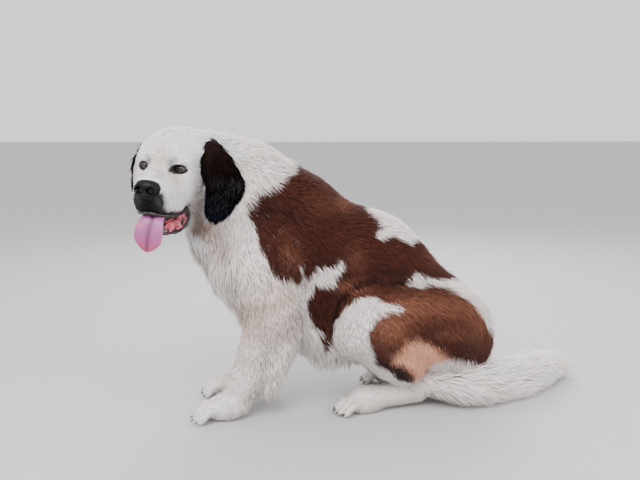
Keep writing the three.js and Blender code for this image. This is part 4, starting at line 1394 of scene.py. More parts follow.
@dataclass(frozen=True)
class SkinFinish(Finish):
    """Bare or thinly haired skin whose colour is kept on the mesh."""

    def make(self) -> bpy.types.Material:
        """Make the material."""
        made, tree = self.start()
        paint = painted(tree)
        fine = self.noise(tree, 420.0, 3.0, add_node(tree, "ShaderNodeTexCoord").outputs["Object"])
        self.mix(tree, 0.25, paint, fine, "SOFT_LIGHT")
        self.bump(tree, fine, 0.35, 0.0015)
        return made


@dataclass(frozen=True)
class MoistFinish(Finish):
    """Wet skin with a grain: the nose, lips and tongue.

    Attributes:
        base: The main colour.
        patch: The colour of its patches.
        patch_scale: How many patches to a metre.
        patch_level: Where patches begin, from nought to one.
        grain: How many grains to a metre.
        grain_depth: How deep the grain is, in metres.
        wet: How strong the wet film is.
        pebbled: Whether the grain is of rounded pebbles.
        painted: Whether the main colour is kept on the mesh.
    """

    base: Triple = (0.02, 0.018, 0.02)
    patch: Triple = (0.05, 0.03, 0.03)
    patch_scale: float = 60.0
    patch_level: float = 0.62
    grain: float = 700.0
    grain_depth: float = 0.0006
    wet: float = 0.5
    pebbled: bool = False
    painted: bool = False

    def make(self) -> bpy.types.Material:
        """Make the material."""
        made, tree = self.start(
            {"Coat Weight": self.wet, "Coat Roughness": 0.15, "Subsurface Weight": 0.08, "Subsurface Scale": 0.004}
        )
        place = add_node(tree, "ShaderNodeTexCoord").outputs["Object"]
        spots = self.noise(tree, self.patch_scale, 3.0, place)
        low, high = self.patch_level - 0.05, self.patch_level + 0.05
        ramp = add_node(tree, "ShaderNodeMapRange", From_Min=low, From_Max=high, Value=spots)
        base = painted(tree) if self.painted else (*self.base, 1.0)
        self.mix(tree, ramp.outputs["Result"], base, (*self.patch, 1.0))
        if self.pebbled:
            height = add_node(tree, "ShaderNodeTexVoronoi", Scale=self.grain, Vector=place).outputs["Distance"]
        else:
            height = self.noise(tree, self.grain, 2.0, place)
        self.bump(tree, height, 0.6, self.grain_depth)
        return made


@dataclass(frozen=True)
class EyeFinish(Finish):
    """An eye under its clear wet film, painted on the mesh."""

    def make(self) -> bpy.types.Material:
        """Make the material."""
        made, tree = self.start({"Coat Weight": 0.7, "Coat Roughness": 0.03})
        put(tree, tree.nodes[SHADER], {"Base Color": painted(tree)})
        return made


@dataclass
class Palette:
    """All the finishes, made once."""

    def __post_init__(self) -> None:
        """Make every material."""
        self.hair = HairFinish("coat_hair", roughness=0.66, specular=0.12, sheen=0.03).make()
        self.sleek = HairFinish("sleek_hair", specular=0.02).make()
        self.skin = SkinFinish("skin", roughness=0.75, specular=0.3).make()
        self.nose = MoistFinish(
            "nose_leather", roughness=0.42, specular=0.14, base=tuple(linear(7, 6, 8)),
            patch=tuple(linear(17, 15, 17)), patch_scale=90.0, grain=620.0, grain_depth=0.0007,
            wet=0.07, pebbled=True,
        ).make()
        self.tongue = MoistFinish(
            "tongue", roughness=0.5, patch=tuple(linear(186, 100, 138)), patch_scale=30.0, grain=900.0,
            wet=0.18, painted=True,
        ).make()
        self.lip = MoistFinish(
            "lip_lining", roughness=0.35, base=tuple(linear(210, 92, 108)), patch=tuple(linear(22, 15, 17)),
            patch_scale=70.0, patch_level=0.52, grain=400.0, grain_depth=0.0008,
        ).make()
        self.rim = MoistFinish("lip_rim", roughness=0.4, base=tuple(linear(24, 19, 21)), wet=0.4).make()
        self.eye = EyeFinish("eye", roughness=0.2, specular=0.5).make()
        self.claw = MoistFinish(
            "claw", roughness=0.5, base=tuple(linear(70, 58, 50)), patch=tuple(linear(120, 104, 90)), wet=0.1
        ).make()


# ---- skin ----


@dataclass
class Skin:
    """The skin under the coat, in one piece from the nose to the rump and the feet.

    Attributes:
        flesh: The outline that it follows.
        comb: How deep it lies under that outline.
        coarse: The step of the grid's first look.
        shade: How bright it is against the coat.
        replaced: The solids of flesh that it stands for.
    """

    flesh: Flesh
    comb: Comb
    coarse: float = 0.022
    shade: float = 0.92
    replaced: tuple[str, ...] = (
        "head", "lower_jaw", "neck", "torso", "rump",
        "forepaw_left", "foreleg_left", "hindpaw_left", "shank_left", "thigh_left",
        "forepaw_right", "foreleg_right", "hindpaw_right", "shank_right", "thigh_right",
    )

    def depth(self, points: Points) -> Values:
        """Measure how far points are outside the skin."""
        return self.flesh.depth(points) + self.comb.skin_depth(points)

    def build(self, palette: Palette) -> bpy.types.Object:
        """Make the skin and let it stand for the solids of flesh.

        Args:
            palette: The finishes.

        Returns:
            The skin.
        """
        # The steps of the grid at the head, at the feet and elsewhere
        fine, medium, wide = 0.0036, 0.005, 0.0085
        lines = (
            spaced([(-0.56, fine), (-0.23, wide)], 0.58),
            spaced([(-0.33, fine), (0.02, wide)], 0.29),
            spaced([(-0.004, medium), (0.09, wide), (0.54, fine)], 0.88),
        )
        self.corners, self.quads = wrapped(self.depth, lines, self.coarse)
        self.normals = slope(self.depth, self.corners)
        made = mesh_object("skin", self.corners, self.quads, palette.skin)
        local = in_head(self.corners)
        on_the_head = smooth_step(-70, -40, local[:, 0])
        colours = lay(MARKINGS.body(self.corners), MARKINGS.head(self.corners), on_the_head)
        paint_corners(made, colours * self.shade)
        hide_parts(*self.replaced)
        return made


# ---- tufts ----


@dataclass
class Tufts:
    """Many tufts of hair whose centre lines are known.

    Attributes:
        lines: Centre lines, as tufts by rings by places.
        facing: The direction away from the skin at each tuft.
        widths: Half the width of each tuft at its widest.
        colours: The colour of each tuft.
        spots: Where each tuft's patch lies on the unwrap.
        thickness: How high a tuft's ridge stands, by its width.
        root_shade: How bright its root is.
        tip_shade: How bright its tip is.
        softness: How far its shading turns to the skin's.
        steepest: How near to its own face's direction the shading has to stay.
        patch: Half the size of its patch on the unwrap.
    """

    lines: np.ndarray
    facing: Points
    widths: Values
    colours: Points
    spots: np.ndarray
    thickness: float = 0.55
    root_shade: float = 0.88
    tip_shade: float = 1.05
    softness: float = 0.68
    steepest: float = 0.35
    patch: float = 0.0015

    def mesh(self, name: str, finish: bpy.types.Material) -> bpy.types.Object:
        """Make one object of closed three-sided tufts that taper to a tip.

        Args:
            name: The piece's name.
            finish: The material.

        Returns:
            The piece.
        """
        count, rings, _ = self.lines.shape
        body = rings - 1
        along = unit(np.gradient(self.lines, axis=1))
        facing = self.facing[:, None, :]
        facing = unit(facing - along * (facing * along).sum(-1, keepdims=True))
        share = np.linspace(0, 1, rings)[:body]
        profile = (0.62 + 1.5 * share - 1.9 * share**2.2)[None, :, None] * self.widths[:, None, None]
        profile = np.maximum(profile, self.widths[:, None, None] * 0.2)
        middle, tips = self.lines[:, :body], self.lines[:, -1:]
        aside = np.cross(along, facing)[:, :body] * profile
        above = facing[:, :body] * profile * self.thickness
        sides = np.stack([middle - aside - above * 0.4, middle + aside - above * 0.4, middle + above], 2)
        corners = np.concatenate([sides.reshape(count, body * 3, 3), tips], 1)
        tris = [(0, 1, 2)]
        for ring in range(body - 1):
            for k in range(3):
                a, b = ring * 3 + k, ring * 3 + (k + 1) % 3
                tris += [(a, a + 3, b), (b, a + 3, b + 3)]
        last = (body - 1) * 3
        tris = np.array(tris + [(last + (k + 1) % 3, last + k, last + 3) for k in range(3)])
        faces = (tris[None] + (np.arange(count) * (last + 4))[:, None, None]).reshape(-1, 3)
        made = mesh_object(name, corners.reshape(-1, 3), faces, finish)
        self.soften(made, corners, facing, tris)
        ring_share = np.concatenate([np.repeat(share, 3), [1.0]])
        shade = self.root_shade + (self.tip_shade - self.root_shade) * ring_share**0.8
        colours = self.colours[:, None, :] * shade[None, :, None]
        paint_corners(made, np.clip(colours, 0, 1).reshape(-1, 3))
        self.unwrap(made, tris, ring_share)
        return made

    def soften(self, made: bpy.types.Object, corners: np.ndarray, facing: np.ndarray, tris: np.ndarray) -> None:
        """Turn the shading of each tuft's upper faces towards the skin's, as a soft coat is lit.

        Args:
            made: The piece.
            corners: Its corners, as tufts by corners by places.
            facing: The direction away from the skin at each ring.
            tris: One tuft's faces.
        """
        middle, lie = (
            np.concatenate([np.repeat(rings[:, :-1], 3, axis=1), rings[:, -1:]], 1) for rings in (self.lines, facing)
        )
        own = unit(corners - middle)
        own[:, -1] = unit(lie[:, -1] * 0.4 + unit(self.lines[:, -1] - self.lines[:, -2]))
        upper = unit(lie * self.softness + own * (1 - self.softness)).astype(np.float32)
        upper[:, -1] = own[:, -1]
        shading = upper[:, tris]
        places = corners.astype(np.float32)[:, tris]
        flat = unit(np.cross(places[:, :, 1] - places[:, :, 0], places[:, :, 2] - places[:, :, 0]))[:, :, None]
        short = np.maximum(self.steepest - (shading * flat).sum(-1, keepdims=True), 0)
        shading = unit(shading + flat * short).astype(np.float32)
        layer = made.data.attributes.new("custom_normal", "FLOAT_VECTOR", "CORNER")
        layer.data.foreach_set("vector", shading.ravel())

    def unwrap(self, made: bpy.types.Object, tris: np.ndarray, ring_share: Values) -> None:
        """Lay each tuft as a small patch at its root's place, and keep its strands' own map.

        Args:
            made: The piece.
            tris: One tuft's faces.
            ring_share: How far along the tuft each of its corners is.
        """
        side = np.append(np.tile([-1.0, 1.0, 0.0], len(ring_share) // 3), 0.0)
        local = np.stack([side, 2 * ring_share - 1], -1) * self.patch
        bake = np.clip(self.spots[:, None, :] + local[None], 0.0, 1.0)[:, tris.ravel()]
        length = np.linalg.norm(np.diff(self.lines, axis=1), axis=2).sum(1)
        seeds = np.random.default_rng(5).random((len(self.lines), 2))
        strand = np.empty((len(self.lines), len(ring_share), 2))
        strand[..., 0] = side[None] * self.widths[:, None] + seeds[:, :1]
        strand[..., 1] = ring_share[None] * length[:, None] * 0.04 + seeds[:, 1:]
        for name, values in (("OFBake", bake), ("strand", strand[:, tris.ravel()])):
            layer = made.data.uv_layers.new(name=name)
            layer.data.foreach_set("uv", values.astype(np.float32).ravel())


@dataclass(frozen=True)
class CoatCut:
    """How one zone's coat is cut.

    Attributes:
        zone: The zone.
        density: Tufts to a square metre.
        width: Half a tuft's greatest width in millimetres.
        rings: How many rings of corners a tuft has.
        stand: How far tips rise above the outline, as a share of the coat's depth.
        clump: How strongly tufts draw together at their tips.
    """

    zone: Zone
    density: float
    width: float
    rings: int
    stand: float
    clump: float

    @property
    def name(self) -> str:
        """The piece's name."""
        return f"coat_{self.zone.name.lower()}"


COAT_CUTS = (
    CoatCut(Zone.HEAD, 126000, 0.75, 3, 1.2, 0.12),
    CoatCut(Zone.NECK, 84000, 0.95, 3, 1.0, 0.2),
    CoatCut(Zone.CHEST, 60000, 1.05, 4, 1.15, 0.3),
    CoatCut(Zone.BACK, 68000, 0.95, 3, 1.0, 0.15),
    CoatCut(Zone.BELLY, 34000, 1.2, 4, 1.1, 0.35),
    CoatCut(Zone.RUMP, 62000, 1.05, 3, 1.05, 0.25),
    CoatCut(Zone.FORELEG_LEFT, 64000, 0.95, 3, 1.05, 0.22),
    CoatCut(Zone.FORELEG_RIGHT, 46000, 1.05, 3, 1.05, 0.22),
    CoatCut(Zone.THIGH_LEFT, 78000, 0.9, 3, 1.0, 0.18),
    CoatCut(Zone.THIGH_RIGHT, 50000, 1.1, 3, 1.0, 0.18),
    CoatCut(Zone.HINDFOOT_LEFT, 62000, 0.95, 3, 1.0, 0.12),
    CoatCut(Zone.HINDFOOT_RIGHT, 44000, 1.1, 3, 1.0, 0.12),
)
# Where guard hairs lie flat
SMOOTH_ZONES = (Zone.BACK, Zone.THIGH_LEFT, Zone.THIGH_RIGHT)
# The most triangles that a piece may have, and how many tufts go to a lock
PIECE_LIMIT = 190000
LOCK_TUFTS = 14


def clumped(lines: np.ndarray, strength: float, rng: np.random.Generator) -> np.ndarray:
    """Draw neighbouring tufts together towards the tips, as locks of hair are.

    Args:
        lines: Centre lines, as tufts by rings by places.
        strength: How strongly they draw together.
        rng: The random draws.

    Returns:
        The new centre lines.
    """
    count = len(lines)
    leaders = rng.choice(count, max(1, count // LOCK_TUFTS), replace=False)
    tree = kdtree.KDTree(len(leaders))
    for i, leader in enumerate(leaders):
        tree.insert(lines[leader, 0], i)
    tree.balance()
    led = lines[leaders[[tree.find(root)[1] for root in lines[:, 0]]]]
    share = np.linspace(0, 1, lines.shape[1])[None, :, None] ** 1.6
    pull = strength * rng.uniform(0.6, 1.3, count)[:, None, None]
    return lines + (led - lines) * share * np.clip(pull, 0, 0.9)


def unwrapped(angle: Values, turn: float, run: Values, length: float) -> np.ndarray:
    """Give places on the unwrap, a little inside its edges.

    Args:
        angle: The angle at each place.
        turn: A whole turn, as the angle is measured.
        run: How far along each place is.
        length: The whole length, as that is measured.

    Returns:
        The places.
    """
    return np.stack([0.01 + 0.98 * angle / turn, 0.01 + 0.98 * run / length], -1)


@dataclass
class BodyCoat:
    """The coat of the whole body, one piece to a zone.

    Attributes:
        skin: The skin that it grows from.
        comb: How it lies.
        ears: The ears, which press it down.
        seed: The start of the random draws.
        guard_share: The share of long guard hairs.
    """

    skin: Skin
    comb: Comb
    ears: "Ears"
    seed: int = 11
    guard_share: float = 0.08

    def build(self, palette: Palette) -> None:
        """Make every zone's piece.

        Args:
            palette: The finishes.
        """
        rng = np.random.default_rng(self.seed)
        corners, quads, normals = self.skin.corners, self.skin.quads, self.skin.normals
        tris = np.concatenate([quads[:, [0, 1, 2]], quads[:, [0, 2, 3]]])
        a, b, c = (corners[tris[:, k]] for k in range(3))
        area = np.linalg.norm(np.cross(b - a, c - a), axis=1) / 2
        middle = (a + b + c) / 3
        zone = self.comb.zones[self.comb.weights(middle).argmax(1)]
        keep = self.haired(middle)
        for cut in COAT_CUTS:
            mine = np.flatnonzero((zone == cut.zone.number) & keep)
            wanted = area[mine] * cut.density
            number = drafted(int(wanted.sum()))
            picked = rng.choice(mine, number, p=wanted / wanted.sum())
            u, v = rng.random((2, number))
            flip = u + v > 1
            u, v = np.where(flip, 1 - u, u), np.where(flip, 1 - v, v)
            mix = np.stack([1 - u - v, u, v], -1)
            roots = np.einsum("nk,nkd->nd", mix, corners[tris[picked]])
            away = unit(np.einsum("nk,nkd->nd", mix, normals[tris[picked]]))
            # A zone with too many tufts for one piece is parted across the dog
            across = HEAD_LEFT if cut.zone is Zone.HEAD else Y_AXIS
            order = np.argsort(roots @ across, kind="stable")
            per_tuft = 6 * (cut.rings - 2) + 4
            parts = -(-number * per_tuft // PIECE_LIMIT)
            for i, part in enumerate(np.array_split(order, parts)):
                name = cut.name if parts == 1 else f"{cut.name}_{i + 1}"
                made = self.piece(name, cut, roots[part], away[part], rng, palette)
                LOG.info("%s: %d tufts, %d triangles", name, len(part), len(made.data.polygons))

    @staticmethod
    def haired(points: Points) -> np.ndarray:
        """Say where hair grows: not on the floor side, in the mouth, on the eyes or the nose.

        Args:
            points: Places on the skin.

        Returns:
            Whether each has hair.
        """
        f, side, u = in_head(points).T
        left = np.abs(side)
        bare = points[:, 2] <= 0.006
        bare |= (off_eye(left, u, 1.5) < 13) & (f > 60)
        bare |= (f > 10) & (left < 40) & (u < -93) & (u > -134) & (f < 175)
        bare |= signed_outline(np.stack([f, u], -1), MOUTH_SKIN) > -1.0
        bare |= (f > 158) & (left < 27) & (u < -6) & (u > -56)
        return ~bare

    def piece(
        self, name: str, cut: CoatCut, roots: Points, away: Points, rng: np.random.Generator, palette: Palette
    ) -> bpy.types.Object:
        """Make one piece of a zone's coat.

        Args:
            name: The piece's name.
            cut: How the zone is cut.
            roots: Where its tufts start, on the skin.
            away: The direction away from the skin at each root.
            rng: The random draws.
            palette: The finishes.

        Returns:
            The piece.
        """
        lines = clumped(self.grown(cut, roots, away, rng), cut.clump, rng)
        if cut.zone in (Zone.HEAD, Zone.NECK, Zone.CHEST):
            lines = self.ears.tuck(lines)
        lines[..., 2] = np.maximum(lines[..., 2], HAIR_GAP)
        colours = self.colours(cut.zone, lines[:, 0] * 0.22 + lines[:, -1] * 0.78, rng)
        widths = cut.width * MM * rng.uniform(0.75, 1.25, len(roots))
        made = Tufts(lines, away, widths, colours, self.spots(cut.zone, roots)).mesh(name, palette.hair)
        return made

    def grown(self, cut: CoatCut, roots: Points, away: Points, rng: np.random.Generator) -> np.ndarray:
        """Let tufts grow along their lie, each as high over the skin as the coat is deep there.

        Args:
            cut: How the zone is cut.
            roots: Where they start, on the skin.
            away: The direction away from the skin at each root.
            rng: The random draws.

        Returns:
            Their centre lines, as tufts by rings by places.
        """
        count = len(roots)
        weights = self.comb.weights(roots)
        fall = weights @ self.comb.lies
        length, depth, hang = (weights @ self.comb.numbers).T
        lie = unit(fall - away * (fall * away).sum(1, keepdims=True))
        aside = np.cross(away, lie)
        sway = rng.normal(0, 0.2, count) + 0.22 * np.sin(roots @ np.array([37.0, 23.0, 41.0]))
        lie = unit(lie * np.cos(sway)[:, None] + aside * np.sin(sway)[:, None])
        length = length * rng.uniform(0.72, 1.15, count)
        rise = depth * cut.stand * rng.uniform(0.7, 1.12, count)
        guard = rng.random(count) < self.guard_share
        length[guard] *= 1.2
        rise[guard] *= 1.15 if cut.zone in SMOOTH_ZONES else 1.5
        share = np.linspace(0, 1, cut.rings)
        lines = np.empty((count, cut.rings, 3))
        lines[:, 0] = roots - away * np.minimum(0.003, depth * 0.5)[:, None]
        here = roots.copy()
        free = hang[:, None]
        way = unit(lie * (1 - free) + fall * free + away * 0.5)
        for ring in range(1, cut.rings):
            step = (length * (share[ring] - share[ring - 1]))[:, None]
            drop = (hang * share[ring])[:, None]
            here = here + unit(way * (1 - drop) - Z_AXIS * drop) * step
            out = in_runs(self.skin.depth, here)
            normal = self.normal_near(here, away)
            target = rise * share[ring] ** 0.6
            loose = np.clip(hang * 2.2 * share[ring], 0, 1)
            fix = (target - out) * np.where(out < target, 1.0, 1.0 - loose)
            here = here + normal * fix[:, None]
            lines[:, ring] = here
            along = lie - normal * (lie * normal).sum(1, keepdims=True)
            way = unit(unit(along) * (1 - free) + fall * free)
        return lines

    def normal_near(self, points: Points, first: Points, step: float = 0.004) -> Points:
        """Give the skin's direction outwards near points, from a quick forward slope.

        Args:
            points: The points.
            first: A direction to fall back on.
            step: How far ahead it is measured.

        Returns:
            The directions.
        """
        base = in_runs(self.skin.flesh.depth, points)
        moved = np.concatenate([points + axis * step for axis in np.eye(3)])
        values = in_runs(self.skin.flesh.depth, moved).reshape(3, -1)
        return unit((values - base).T + first * 1e-6)

    @staticmethod
    def colours(zone: Zone, roots: Points, rng: np.random.Generator) -> Points:
        """Give each tuft its colour, which strays a little across a marking's edge.

        Args:
            zone: The zone.
            roots: The place that each tuft takes its colour from.
            rng: The random draws.

        Returns:
            The colours.
        """
        count = len(roots)
        strayed = roots + rng.normal(0, 0.0008 if zone is Zone.HEAD else 0.0028, (count, 3))
        if zone is not Zone.HEAD:
            colours = MARKINGS.body(strayed)
        else:
            colours = MARKINGS.head(strayed, rng.random(count))
            f, side, u = in_head(roots).T
            near = smooth_step(96, 140, f) * smooth_step(-40, -70, u) * smooth_step(62, 25, np.abs(side))
            flecks = (rng.random(count) < near * 0.3) & (colours.mean(1) > 0.25)
            colours[flecks] = Coat.BLACK.light + rng.random((flecks.sum(), 1)) * 0.12
        spread = 0.05 + 0.1 * (colours.mean(1) < 0.3)
        bright = 1 + rng.normal(0, 1, count) * spread
        return np.clip(colours * np.clip(bright, 0.5, 1.7)[:, None], 0.003, 0.92)

    @staticmethod
    def spots(zone: Zone, roots: Points) -> np.ndarray:
        """Unwrap the zone's skin round its own line: along it, and the angle round it.

        Args:
            zone: The zone.
            roots: Where its tufts start.

        Returns:
            The roots' places on the unwrap.
        """
        start, end = (np.array(v) for v in zone.value)
        along = unit(end - start)
        first = unit(np.cross(along, [0.3, 0.5, 0.8]))
        away = roots - start
        angle = np.arctan2(away @ np.cross(along, first), away @ first) / (2 * math.pi) + 0.5
        run = (away @ along) / np.linalg.norm(end - start)
        return unwrapped(angle, 1.0, run - run.min(), run.max() - run.min())


# ---- tail ----


def spline(before: Points, start: Points, end: Points, after: Points, t: Values) -> Points:
    """Run smoothly from a start to an end, past the points before and after them."""
    return 0.5 * (
        2 * start + (end - before) * t + (2 * before - 5 * start + 4 * end - after) * t**2
        + (3 * start - before - 3 * end + after) * t**3
    )


@dataclass
class Tail:
    """The tail lying curved on the ground, with its plume.

    Attributes:
        bones: The points of its middle, in millimetres.
        radii: The flesh's radius at each point.
        reach: The plume's radius at each point, to the sides and below.
        crest: How high the plume stands at each point.
        tufts: How many tufts it has.
        length: How long they are.
        rings: How many rings of corners a tuft has.
        grid: The step of the grid for the skin.
    """

    bones: tuple[Triple, ...] = (
        (270, -84, 92), (380, -122, 77), (452, -120, 68), (527, -98, 58), (602, -74, 51),
        (674, -38, 47), (742, 4, 43), (806, 44, 40),
    )
    radii: tuple[float, ...] = (34, 36, 32, 27, 23, 19, 15, 8)
    reach: tuple[float, ...] = (42, 62, 64, 62, 58, 50, 38, 20)
    crest: tuple[float, ...] = (44, 82, 88, 90, 90, 86, 70, 36)
    tufts: int = 8800
    length: float = 0.084
    rings: int = 4
    grid: float = 0.007

    def masses(self) -> list[Mass]:
        """Give the flesh."""
        return [
            Bone(self.bones[i], self.bones[i + 1], (self.radii[i], self.radii[i + 1]), 12)
            for i in range(len(self.bones) - 1)
        ]

    def depth(self, points: Points) -> Values:
        """Measure how far points are outside the tail's flesh."""
        return np.maximum(blended(self.masses(), points), FLESH_GAP - points[:, 2])

    def build(self, palette: Palette) -> None:
        """Make the tail's skin and plume.

        Args:
            palette: The finishes.
        """
        lines = tuple(spaced([(low, self.grid)], high) for low, high in ((0.25, 0.84), (-0.18, 0.11), (-0.004, 0.18)))
        corners, quads = wrapped(self.depth, lines, 2 * self.grid)
        skin = mesh_object("tail_skin", corners, quads, palette.skin)
        paint_corners(skin, np.tile(Coat.CREAM.light * 0.7, (len(corners), 1)))
        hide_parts("tail_1", "tail_2", "tail_3")
        made = self.plume(palette)
        LOG.info("tail: %d triangles", len(made.data.polygons))

    def path(self, share: Values) -> tuple[Points, Points]:
        """Give places along the tail and the direction there.

        Args:
            share: How far along it each place is.

        Returns:
            The places and the directions.
        """
        bones = np.array(self.bones) * MM
        last = len(bones) - 1
        i = np.clip((share * last).astype(int), 0, last - 1)
        before, a, b, after = (bones[np.clip(i + k, 0, last)] for k in (-1, 0, 1, 2))
        return spline(before, a, b, after, (share * last - i)[:, None]), unit(b - a)

    def plume(self, palette: Palette) -> bpy.types.Object:
        """Grow the long hair, which fans out backwards and lies on the floor.

        Args:
            palette: The finishes.

        Returns:
            The piece.
        """
        rng = np.random.default_rng(29)
        count = drafted(self.tufts)
        share = rng.random(count) ** 1.15
        centre, heading = self.path(share)
        angle = rng.uniform(0, 2 * math.pi, count)
        sideways = unit(np.cross(heading, Z_AXIS))
        upward = np.cross(sideways, heading)
        out = sideways * np.cos(angle)[:, None] + upward * np.sin(angle)[:, None]
        knots = np.linspace(0, 1, len(self.radii))
        radius, low, crest = (np.interp(share, knots, v)[:, None] for v in (self.radii, self.reach, self.crest))
        radius = radius * MM
        high = np.maximum(np.sin(angle), 0)[:, None] ** 1.5
        reach = (low * (1 - high) + crest * high) * MM * rng.uniform(0.75, 1.08, (count, 1))
        heading = heading * (0.3 + 0.65 * smooth_step(0.02, 0.16, share))[:, None]
        length = self.length * rng.uniform(0.7, 1.25, (count, 1)) * (0.85 + 0.2 * share[:, None])
        lines = np.empty((count, self.rings, 3))
        wave = rng.uniform(0, 2 * math.pi, (count, 1))
        for ring in range(self.rings):
            t = ring / (self.rings - 1)
            spread = radius * 0.9 + (reach - radius * 0.9) * t**0.7
            wobble = np.sin(wave + t * 5.0) * 0.005 * t
            spot = centre + heading * length * t + out * spread + sideways * wobble
            spot[:, 2] -= 0.014 * t * t * (high[:, 0] < 0.2)
            lines[:, ring] = spot
        lines[..., 2] = np.maximum(lines[..., 2], HAIR_GAP + 0.004 * rng.random((count, 1)))
        lines = clumped(lines, 0.35, rng)
        seen = SIGHT.seen(lines[:, 0] * 0.4 + lines[:, -1] * 0.6)
        colours = lay(Coat.WHITE.light, Coat.CREAM.light, 0.3 * MARKINGS.tone(seen, CREAM_TONES))
        colours = lay(colours, Coat.TAN.light, MARKINGS.share(seen, np.zeros(count), TAIL_ROOT_TAN) * 0.4)
        # The plume is painted brighter and a little pinker than the white coat: painted light, where the lamps reach
        # it little
        colours = colours * (np.array((1.13, 1.07, 1.07)) + rng.normal(0, 0.05, (count, 1)))
        spots = unwrapped(angle, 2 * math.pi, share, 1.0)
        widths = rng.uniform(0.95, 1.5, count) * MM
        made = Tufts(lines, out, widths, np.clip(colours, 0, 0.95), spots).mesh("coat_tail", palette.hair)
        return made


# ---- the face's separate pieces ----


def tube(path: Points, radii: Values, sides: int = 10) -> tuple[Points, np.ndarray]:
    """Sweep a closed tube along a path.

    Args:
        path: The middle line.
        radii: The radius at each point.
        sides: How many sides it has.

    Returns:
        The corners and the faces, as quads.
    """
    along = unit(np.gradient(path, axis=0))
    first = unit(np.cross(along, [0.31, 0.2, 0.93]))
    second = np.cross(along, first)
    turn = np.linspace(0, 2 * math.pi, sides, endpoint=False)
    ring = first[:, None] * np.cos(turn)[None, :, None] + second[:, None] * np.sin(turn)[None, :, None]
    corners = (path[:, None] + ring * np.asarray(radii)[:, None, None]).reshape(-1, 3)
    return np.concatenate([corners, path[:1], path[-1:]]), ring_faces(len(path), sides, capped=True)


def curve_through(points: Points, count: int, closed: bool = False) -> Points:
    """Run a smooth curve through points.

    Args:
        points: The points.
        count: How many places along the curve are wanted.
        closed: Whether it runs back to its start.

    Returns:
        The places.
    """
    ring = np.asarray(points, float)
    if closed:
        ring = np.concatenate([ring[-1:], ring, ring[:2]])
    else:
        ring = np.concatenate([2 * ring[:1] - ring[1:2], ring, 2 * ring[-1:] - ring[-2:-1]])
    spans = len(ring) - 3
    spots = np.linspace(0, spans, count, endpoint=not closed)
    i = np.minimum(spots.astype(int), spans - 1)
    return spline(*(ring[i + k] for k in range(4)), (spots - i)[:, None])


def rounded_end(share: Values, start: float, run: float, close: float) -> Values:
    """Narrow from one at a start to a round end, by how far it closes over its run."""
    return np.sqrt(np.clip(1 - np.clip((share - start) / run, 0, 1) ** 2 * close, 0, 1))


